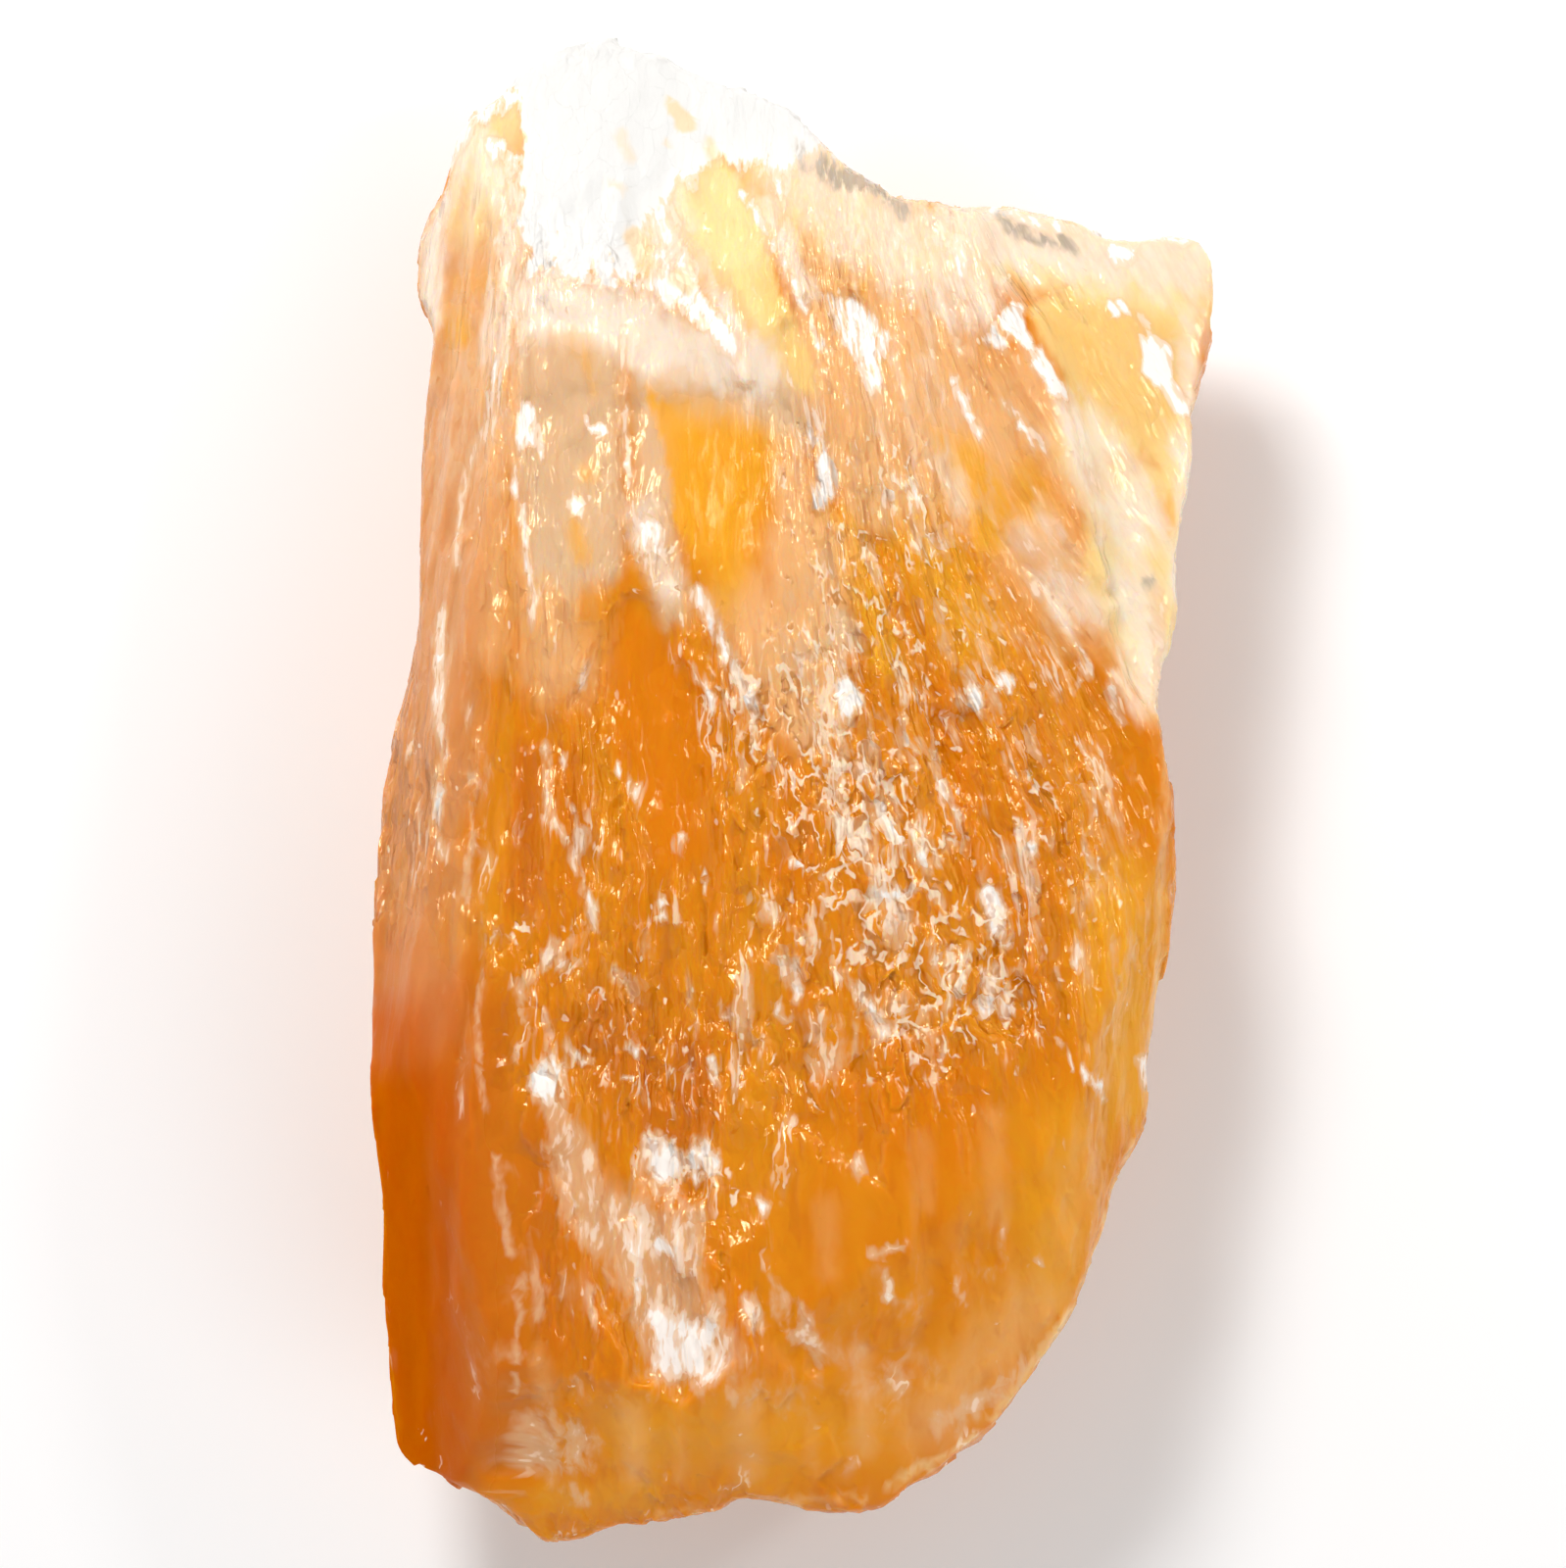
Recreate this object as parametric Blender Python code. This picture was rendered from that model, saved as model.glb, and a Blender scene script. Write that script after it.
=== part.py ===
"""A lump of banded orange calcite, broken along its cleavage and lying on its flattest face.

The lump is one solid. Sizes in this file are millimetres until the last step, which scales
the mesh to metres. +Z is up, +X runs across the lump, and +Y runs along its fibres towards
the white end. The origin is the middle of the outline, level with the face it rests on.
"""

import math

import bmesh
import bpy
import numpy as np

NODE_NAME = "calcite_lump"
METRES_PER_MM = 0.001

# Driving dimensions
BLANK_HEIGHT = 26.0
FRONT_HEIGHT = 20.6
OUTLINE_STEP = 0.8
VOXEL = 0.55
MOST_TRIANGLES = 9400
NOISE_SEED = 11
FLOOR_REACH = 0.03

# The outline seen from above, clockwise from the crest of the white end
TOP_EDGE = [
    (-10.1, 38.75), (-8.5, 38.25), (-6.9, 37.8), (-5.5, 37.15), (-4.1, 36.45), (-2.0, 35.8),
    (-0.35, 35.15), (0.9, 34.1), (2.9, 31.8), (4.1, 31.4), (5.35, 30.45), (6.3, 30.6),
    (8.3, 30.0), (10.0, 30.2), (11.25, 30.05), (12.5, 29.6), (13.6, 29.45), (15.0, 28.85),
    (17.75, 28.25), (19.25, 28.5), (20.6, 28.25), (21.4, 27.6), (21.65, 26.7),
]
RIGHT_EDGE = [
    (21.55, 25.3), (21.3, 23.05), (20.8, 20.55), (20.5, 19.05), (20.6, 17.55), (20.05, 14.3),
    (20.0, 13.05), (19.7, 11.3), (19.8, 9.05), (19.45, 7.55), (18.65, 4.9), (18.9, 3.55),
    (19.4, -1.2), (19.6, -3.95), (19.5, -6.7), (19.25, -8.45), (18.6, -11.2), (18.5, -13.2),
    (18.25, -14.3), (18.4, -15.45), (18.2, -17.2), (17.5, -18.45), (16.65, -19.7), (16.15, -21.2),
]
BOTTOM_EDGE = [
    (15.85, -22.3), (15.15, -24.2), (14.5, -26.2), (13.65, -27.8), (11.5, -31.1), (10.25, -32.55),
    (9.15, -33.45), (7.75, -34.25), (6.0, -35.35), (4.6, -36.25), (3.0, -36.55), (1.25, -36.5),
    (-1.75, -35.9), (-3.0, -36.3), (-4.5, -36.85), (-7.5, -37.4), (-8.9, -37.5), (-10.25, -38.0),
    (-11.75, -38.55), (-12.75, -38.7), (-13.5, -38.2), (-14.0, -37.25), (-15.75, -36.05),
    (-18.5, -34.95), (-19.75, -34.25), (-20.4, -33.2), (-20.8, -31.2), (-21.0, -28.2),
]
LEFT_EDGE = [
    (-21.1, -21.7), (-21.45, -17.2), (-21.6, -12.7), (-21.5, -6.7), (-21.35, -1.7), (-21.15, 0.2),
    (-20.45, 3.3), (-19.95, 5.3), (-19.5, 7.8), (-19.3, 13.8), (-19.25, 17.8), (-18.9, 20.55),
    (-18.6, 23.05), (-18.9, 24.3), (-19.45, 25.2), (-19.6, 26.4), (-19.5, 27.7), (-19.2, 29.05),
    (-18.5, 30.55), (-17.75, 32.8), (-17.2, 33.8), (-16.5, 34.6), (-15.35, 35.4), (-14.5, 36.5),
    (-13.5, 37.3), (-12.25, 38.05),
]
OUTLINE = TOP_EDGE + RIGHT_EDGE + BOTTOM_EDGE + LEFT_EDGE

# The broken faces. Each has a point on it, the way it faces (degrees from +X towards +Y) and
# its tilt: 0 faces straight up, 90 sideways and 180 straight down.
BROKEN_FACES = {
    "front": ((-6.0, 0.0, 20.6), 0, 3.5),
    "front_right": ((9.0, -4.0, 19.7), 8, 12),
    "front_right_rim": ((18.0, -8.0, 17.0), -14, 46),
    "front_lower_right": ((9.0, -23.0, 18.9), -48, 21),
    "front_bottom": ((-6.0, -30.5, 20.0), -88, 29),
    "front_lower_left": ((-17.2, -25.0, 20.2), 197, 42),
    "front_left_side": ((-15.3, 20.0, 20.4), 171.4, 57),
    "front_white_end": ((-6.0, 24.0, 20.2), 84, 27),
    "front_upper_right": ((11.0, 20.0, 18.9), 52, 15),
    "rest": ((0.0, 0.0, 0.0), 0, 180),
    "back_right": ((10.0, -2.0, 0.0), -3, 128),
    "back_upper_right": ((12.6, 19.0, 0.0), 48, 137),
    "back_top": ((-3.0, 28.0, 0.0), 86, 143),
    "back_upper_left": ((-15.5, 24.0, 0.0), 158, 126),
    "back_left": ((-16.0, -6.0, 0.0), 183, 118),
    "back_lower_left": ((-15.0, -28.0, 0.0), 232, 132),
    "back_bottom": ((-4.0, -29.0, 0.0), 268, 128),
    "back_lower_right": ((9.0, -22.0, 0.0), -46, 134),
}

# Where the thin, clear flange at the upper right drops below the front: (x, y) down its edge
FLANGE_EDGE = [(8.5, 31.0), (9.7, 26.8), (12.5, 23.8), (14.2, 17.8), (15.0, 12.3), (15.8, 8.3),
               (17.0, 4.3), (19.5, 1.5)]
FLANGE_DROP = 2.4

# Where the white end stops as a broken ledge above the orange: (x, y) along its edge
WHITE_LEDGE = [(-20.0, 27.0), (-13.3, 26.4), (-11.6, 24.6), (-9.0, 25.6), (-6.6, 24.4),
               (-4.6, 22.8), (-2.6, 21.0), (-0.6, 23.4), (1.0, 27.0)]
WHITE_LEDGE_DROP = 0.8

# Flakes knocked off the front. Each has the (x, y) points of its sharp lip, the direction in
# which it fades out (degrees from +X towards +Y), how far it goes, and its depth at the lip.
FLAKES = {
    "dark_hollow": ([(-11.0, 5.0), (-8.8, 10.2), (-7.4, 10.0), (-4.2, 4.2)], -86, 15.0, 0.6),
    "beige_pane": ([(-13.6, 20.0), (-10.6, 20.7), (-7.8, 19.6)], -91, 11.0, 0.4),
    "yellow_pane": ([(-7.4, 20.2), (-3.0, 20.6), (0.9, 19.9)], -86, 11.0, 0.35),
    "silky_hollow": ([(-8.6, -28.0), (-7.4, -30.0), (-5.4, -30.6), (-3.2, -28.6)], 116, 17.0, 1.0),
    "upper_vein": ([(1.2, 25.6), (3.8, 25.0)], -67, 8.0, 0.8),
    "middle_vein": ([(0.2, 19.0), (2.4, 18.4)], -84, 8.0, 0.7),
    "right_vein": ([(10.2, 24.8), (12.2, 23.8)], -57, 7.0, 0.7),
    "bright_chip": ([(9.3, -12.0), (11.3, -12.8), (12.0, -11.2)], 100, 7.5, 1.1),
    "small_chip": ([(7.0, 4.4), (9.4, 4.0)], -78, 4.0, 0.6),
    "low_chip": ([(-7.6, -20.2), (-4.4, -20.8)], 96, 5.0, 0.6),
    "low_flake": ([(-1.6, -28.2), (1.8, -29.8)], 108, 8.0, 0.6),
    "corner_flake": ([(-15.4, -34.6), (-12.2, -35.2)], 88, 6.0, 0.5),
}

# Flat steps on the underside. Each starts at a corner (x, y) and fills the angle between two
# straight cleavage edges, given as directions in degrees from +X, and is lifted by a height.
UNDERSIDE_STEPS = {
    "upper_right": ((1.5, 12.0), -6, 96, 0.9),
    "upper_corner": ((5.0, 17.0), -4, 98, 0.8),
    "lower_left": ((-7.5, -14.0), 174, 276, 0.8),
    "lower_corner": ((-10.5, -20.0), 170, 272, 0.7),
}


def smooth(t):
    """Eases from 0 to 1 as t goes from 0 to 1."""
    t = np.clip(t, 0.0, 1.0)
    return t * t * (3.0 - 2.0 * t)


class Noise:
    """Gradient noise on a lattice of random directions, about -1 to 1."""

    def __init__(self, seed):
        rng = np.random.default_rng(seed)
        self.order = rng.permutation(256)
        directions = rng.normal(size=(256, 3))
        self.slopes = directions / np.linalg.norm(directions, axis=1)[:, None]

    def at(self, x, y, z):
        points = np.stack([x, y, z], axis=1)
        cell = np.floor(points).astype(int)
        inside = points - cell
        ease = inside**3 * (inside * (inside * 6.0 - 15.0) + 10.0)
        total = np.zeros(len(points))
        for corner in np.ndindex(2, 2, 2):
            at = cell + corner
            index = self.order[at[:, 0] & 255]
            index = self.order[(index + at[:, 1]) & 255]
            index = self.order[(index + at[:, 2]) & 255]
            weight = np.prod(np.where(corner, ease, 1.0 - ease), axis=1)
            total += weight * (self.slopes[index] * (inside - corner)).sum(axis=1)
        return total * 1.6


def fibre_lean(x, y):
    """How far the fibres lean from +Y, in radians. They fan out towards the upper right."""
    fan = 27.0 * smooth((x + 6.0) / 18.0) * (0.35 + 0.65 * smooth((y + 15.0) / 30.0))
    return np.radians(fan - 5.0 * smooth((-12.0 - x) / 5.0))


def across_fibres(x, y):
    """The same along any one fibre, so that ridges made from it run with the fibres."""
    return x + np.tan(fibre_lean(x, y)) * y


def smooth_outline():
    """The outline as a closed curve through its points, cut into short, even steps."""
    corners = np.array(OUTLINE)
    before, after, beyond = (np.roll(corners, shift, axis=0) for shift in (1, -1, -2))
    stretches = []
    for p0, p1, p2, p3 in zip(before, corners, after, beyond):
        steps = max(1, round(np.linalg.norm(p2 - p1) / OUTLINE_STEP))
        t = (np.arange(steps) / steps)[:, None]
        stretches.append(0.5 * (2 * p1 + (p2 - p0) * t + (2 * p0 - 5 * p1 + 4 * p2 - p3) * t**2
                                + (3 * p1 - p0 - 3 * p2 + p3) * t**3))
    return np.concatenate(stretches)


def cleave(bm, point, facing, tilt):
    """Breaks off what lies beyond one flat face and closes the break."""
    facing, tilt = math.radians(facing), math.radians(tilt)
    outward = (math.sin(tilt) * math.cos(facing), math.sin(tilt) * math.sin(facing), math.cos(tilt))
    everything = bm.verts[:] + bm.edges[:] + bm.faces[:]
    cut = bmesh.ops.bisect_plane(bm, geom=everything, plane_co=point, plane_no=outward,
                                 clear_outer=True)
    edges = [part for part in cut["geom_cut"] if isinstance(part, bmesh.types.BMEdge)]
    bmesh.ops.edgeloop_fill(bm, edges=edges)


def cleaved_blank():
    """A slab with the lump's outline, broken down to its flat faces."""
    bm = bmesh.new()
    ring = [bm.verts.new((x, y, -1.0)) for x, y in smooth_outline()]
    base = bm.faces.new(ring)
    raised = bmesh.ops.extrude_face_region(bm, geom=[base])
    risen = [part for part in raised["geom"] if isinstance(part, bmesh.types.BMVert)]
    bmesh.ops.translate(bm, verts=risen, vec=(0.0, 0.0, BLANK_HEIGHT))
    for point, facing, tilt in BROKEN_FACES.values():
        cleave(bm, point, facing, tilt)
    bmesh.ops.recalc_face_normals(bm, faces=bm.faces[:])
    mesh = bpy.data.meshes.new("cleaved_blank")
    bm.to_mesh(mesh)
    bm.free()
    return mesh


def evenly_meshed(mesh):
    """The same solid with a fine, even mesh, which can take relief."""
    helper = bpy.data.objects.new("blank", mesh)
    bpy.context.scene.collection.objects.link(helper)
    remesh = helper.modifiers.new("even", "REMESH")
    remesh.mode = "VOXEL"
    remesh.voxel_size = VOXEL
    graph = bpy.context.evaluated_depsgraph_get()
    fine = bpy.data.meshes.new_from_object(helper.evaluated_get(graph))
    bpy.data.objects.remove(helper)
    return fine


def stepped(value, riser):
    """Turns a slope into flat treads, each ending in a riser that takes this share of it."""
    level = np.floor(value)
    return level + smooth((value - level - 1.0 + riser) / riser)


def flake_depth(x, y, lip, fades, length, depth):
    """How deep one flake is: a sharp step down at its lip, fading out to nothing."""
    fades = math.radians(fades)
    along = x * math.cos(fades) + y * math.sin(fades)
    across = -x * math.sin(fades) + y * math.cos(fades)
    lip_along = [px * math.cos(fades) + py * math.sin(fades) for px, py in lip]
    lip_across = [-px * math.sin(fades) + py * math.cos(fades) for px, py in lip]
    if lip_across[0] > lip_across[-1]:
        lip_along.reverse()
        lip_across.reverse()
    past = along - np.interp(across, lip_across, lip_along)
    taper = 0.25 * (lip_across[-1] - lip_across[0]) * smooth(past / length)
    inside = np.minimum(across - lip_across[0], lip_across[-1] - across) - taper
    return depth * smooth(past / 0.5) * smooth(inside / 0.5 + 0.5) * (1.0 - smooth(past / length))


def front_lowered(x, y, noise):
    """How far the front lies below its flat faces at each place seen from above."""
    level = np.zeros_like(x)
    ragged = 0.55 * noise.at(x * 0.8, y * 0.8, level) + 0.25 * noise.at(x * 2.1, y * 2.1, level)
    edge_y = [point[1] for point in reversed(FLANGE_EDGE)]
    edge_x = [point[0] for point in reversed(FLANGE_EDGE)]
    past_flange = x - np.interp(y, edge_y, edge_x) + ragged
    lowered = FLANGE_DROP * smooth((y - 1.0) / 9.0) * smooth(past_flange / 1.1)
    ledge_y = np.interp(x, [point[0] for point in WHITE_LEDGE], [point[1] for point in WHITE_LEDGE])
    below_ledge = ledge_y - y + 1.6 * ragged
    reach = (1.0 - smooth(x / 3.0)) * (1.0 - smooth((below_ledge - 3.0) / 9.0))
    lowered += WHITE_LEDGE_DROP * reach * smooth(below_ledge / 0.8) * smooth((x + 14.5) / 1.5)
    for flake in FLAKES.values():
        lowered += flake_depth(x + 0.5 * ragged, y + 0.8 * ragged, *flake)
    across = across_fibres(x, y)
    splinters = noise.at(across * 0.15, y * 0.020, level + 7.5) * 3.2
    splinters += 0.4 * noise.at(across * 0.5, y * 0.14, level + 2.5)
    swell = noise.at(x * 0.075, y * 0.06, level + 3.5)
    return lowered + 0.42 * stepped(splinters, 0.22) + 0.8 * swell + 0.9


def with_relief(points, normals):
    """Adds ledges and flakes to the front, fibre ridges all over and steps on the broken sides."""
    noise = Noise(NOISE_SEED)
    x, y, z = points.T
    across = across_fibres(x, y)

    relief = 0.22 * noise.at(across * 0.42, y * 0.05, z * 0.42) - 0.15
    relief += 0.22 * np.abs(noise.at(across * 0.95, y * 0.09, z * 0.95))
    behind = smooth((-0.05 - normals[:, 2]) / 0.4)
    endways = smooth((np.abs(normals[:, 1]) - 0.4) / 0.3)
    blocks = noise.at(x * 0.17, y * 0.17, z * 0.15) * 3.0 + noise.at(x * 0.5, y * 0.5, z * 0.4)
    relief += 0.5 * endways * (0.15 + 0.85 * behind) * (stepped(blocks, 0.35) + 0.5)
    sideways = smooth((np.abs(normals[:, 0]) - 0.5) / 0.3)
    layers = z * 0.2 + 1.5 * noise.at(x * 0.08, y * 0.035, z * 0.12)
    layers += 0.35 * noise.at(x * 0.4, y * 0.12, z * 0.4)
    relief -= 0.75 * sideways * (0.4 + 0.6 * behind) * (1.0 - smooth((layers % 1.0) / 0.9))
    points += normals * (relief * smooth(z / 2.0))[:, None]

    squeeze = (points[:, 2] / FRONT_HEIGHT) ** 2
    points[:, 2] -= front_lowered(x, y, noise) * squeeze
    points[:, 2] = np.maximum(points[:, 2], 0.0)
    return points


def underside_steps(points):
    """Lifts parts of the underside in flat steps, as cleavage leaves them."""
    x, y, z = points.T
    noise = Noise(NOISE_SEED + 1)
    ragged = 0.5 * noise.at(x * 0.4, y * 0.4, np.zeros_like(x))
    lifted = np.zeros_like(x)
    for corner, first, second, height in UNDERSIDE_STEPS.values():
        first, second = math.radians(first), math.radians(second)
        left = (y - corner[1]) * math.cos(first) - (x - corner[0]) * math.sin(first)
        right = (x - corner[0]) * math.sin(second) - (y - corner[1]) * math.cos(second)
        lifted += height * smooth((np.minimum(left, right) + ragged) / 0.8)
    points[:, 2] += lifted * (1.0 - smooth((z - 0.2) / 5.0))
    return points


def calcite_material():
    material = bpy.data.materials.new("orange_calcite")
    material.use_nodes = True
    shader = material.node_tree.nodes["Principled BSDF"]
    shader.inputs["Base Color"].default_value = (0.80, 0.30, 0.045, 1.0)
    shader.inputs["Roughness"].default_value = 0.38
    shader.inputs["Metallic"].default_value = 0.0
    return material


def place(mesh, points):
    """Centres the points over the origin, flat on the floor, and gives them to the mesh in metres."""
    middle = (points.min(axis=0) + points.max(axis=0)) / 2.0
    points[:, :2] -= middle[:2]
    points[points[:, 2] < FLOOR_REACH, 2] = 0.0
    mesh.vertices.foreach_set("co", (points * METRES_PER_MM).astype(np.float32).ravel())
    mesh.update()


def with_fewer_triangles(mesh):
    """The same shape with its triangles kept for the steps and ridges."""
    mesh.calc_loop_triangles()
    helper = bpy.data.objects.new("fine", mesh)
    bpy.context.scene.collection.objects.link(helper)
    fewer = helper.modifiers.new("fewer", "DECIMATE")
    fewer.ratio = MOST_TRIANGLES / len(mesh.loop_triangles)
    fewer.use_collapse_triangulate = True
    graph = bpy.context.evaluated_depsgraph_get()
    coarse = bpy.data.meshes.new_from_object(helper.evaluated_get(graph))
    bpy.data.objects.remove(helper)
    return coarse


def points_of(mesh, what="co"):
    """The mesh's points or normals as rows of x, y and z."""
    rows = np.empty(len(mesh.vertices) * 3, np.float32)
    mesh.vertices.foreach_get(what, rows)
    return rows.reshape(-1, 3).astype(float)


def build_lump():
    fine = evenly_meshed(cleaved_blank())
    relief = underside_steps(with_relief(points_of(fine), points_of(fine, "normal")))
    fine.vertices.foreach_set("co", relief.astype(np.float32).ravel())
    fine.update()
    mesh = with_fewer_triangles(fine)
    place(mesh, points_of(mesh))
    mesh.name = NODE_NAME
    mesh.materials.append(calcite_material())
    lump = bpy.data.objects.new(NODE_NAME, mesh)
    bpy.context.scene.collection.objects.link(lump)
    return lump


def main():
    for old in list(bpy.data.objects):
        bpy.data.objects.remove(old)
    build_lump()


main()
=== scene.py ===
"""The look of a lump of banded orange calcite, lying on a pale floor and seen from above.

The lump's surface starts from its solid, is smoothed, and gets fibres, splinters and sugary
facets in relief. The colour of its bands and marks is worked out at each point of the mesh and
stored there, with soft masks of its frost. The stone's material sharpens these with fibrous
noise. Lengths are in millimetres, apart from those of the lights and the floor.
"""

import math

import bpy
import numpy as np
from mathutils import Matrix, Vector

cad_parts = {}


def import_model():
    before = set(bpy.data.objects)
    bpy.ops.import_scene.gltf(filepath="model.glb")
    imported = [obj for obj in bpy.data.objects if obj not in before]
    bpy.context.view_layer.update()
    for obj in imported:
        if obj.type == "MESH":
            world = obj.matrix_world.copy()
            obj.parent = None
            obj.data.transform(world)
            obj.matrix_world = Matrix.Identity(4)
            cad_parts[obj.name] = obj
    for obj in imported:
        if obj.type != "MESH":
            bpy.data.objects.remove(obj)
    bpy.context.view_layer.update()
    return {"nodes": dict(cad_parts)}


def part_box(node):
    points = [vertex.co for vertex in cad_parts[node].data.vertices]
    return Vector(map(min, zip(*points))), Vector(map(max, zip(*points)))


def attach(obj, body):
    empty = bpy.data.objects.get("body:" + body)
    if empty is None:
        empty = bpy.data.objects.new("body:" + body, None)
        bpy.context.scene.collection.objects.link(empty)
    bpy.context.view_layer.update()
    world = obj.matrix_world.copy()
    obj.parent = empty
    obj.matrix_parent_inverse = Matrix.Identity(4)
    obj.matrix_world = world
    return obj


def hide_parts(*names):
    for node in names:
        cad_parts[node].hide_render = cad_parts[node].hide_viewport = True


MM = 0.001
SEED = 5

# The surface
VOXEL = 0.20
SMOOTHING_PASSES = 7
CREASE_PASSES = 40
MOST_TRIANGLES = 192000

# The front is nearer the camera than the rim is, so it looks this much larger
FRONT_SPREAD = 1.017

# The camera looks straight down from this far above the rim, where it sees this width
CAMERA_ABOVE_RIM = 350.0
RIM_HEIGHT = 14.0
FRAME_WIDTH = 79.9
FRAME_CENTRE = (-0.55, -0.15)
SENSOR_WIDTH = 36.0

# Lights: name, place and size in metres, and power in watts
LIGHTS = [
    ("key", (-0.08, 0.17, 0.23), 0.08, 0.58),
    ("kicker", (0.18, 0.07, 0.20), 0.03, 0.08),
    ("fill", (0.20, -0.24, 0.30), 0.30, 0.42),
]
WALL_BRIGHTNESS = 0.84
CEILING_BRIGHTNESS = 0.18
FLOOR_SIZE = 3.0
FLOOR_COLOUR = (0.96, 0.96, 0.96, 1.0)

# How often each pattern repeats in a millimetre: across the fibres, along them, and in depth
BAND_SCALE = (0.38, 0.05, 0.38)
PATCH_SCALE = (0.65, 0.22, 0.65)
PRESENCE_SCALE = (1.7, 1.1, 1.7)
STREAK_SCALE = (1.3, 0.16, 1.3)
GRAIN_SCALE = (2.3, 0.6, 2.3)
CRYSTAL_SCALE = (1.3, 0.7, 0.0)
FOLD_SCALE = (0.95, 0.56, 1.0)

# How light behaves in the stone
REFRACTION = 1.5
REFLECTION_TINT = (1.0, 0.75, 0.45, 1.0)
SCATTER_RADIUS = (0.8, 0.45, 0.20)
SCATTER_SCALE = 0.9

# How deep the material's finest relief is where the stone is calm, and how much deeper it is
# where the stone is rough
CALM_BUMP = 0.10
ROUGH_BUMP = 0.72

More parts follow.
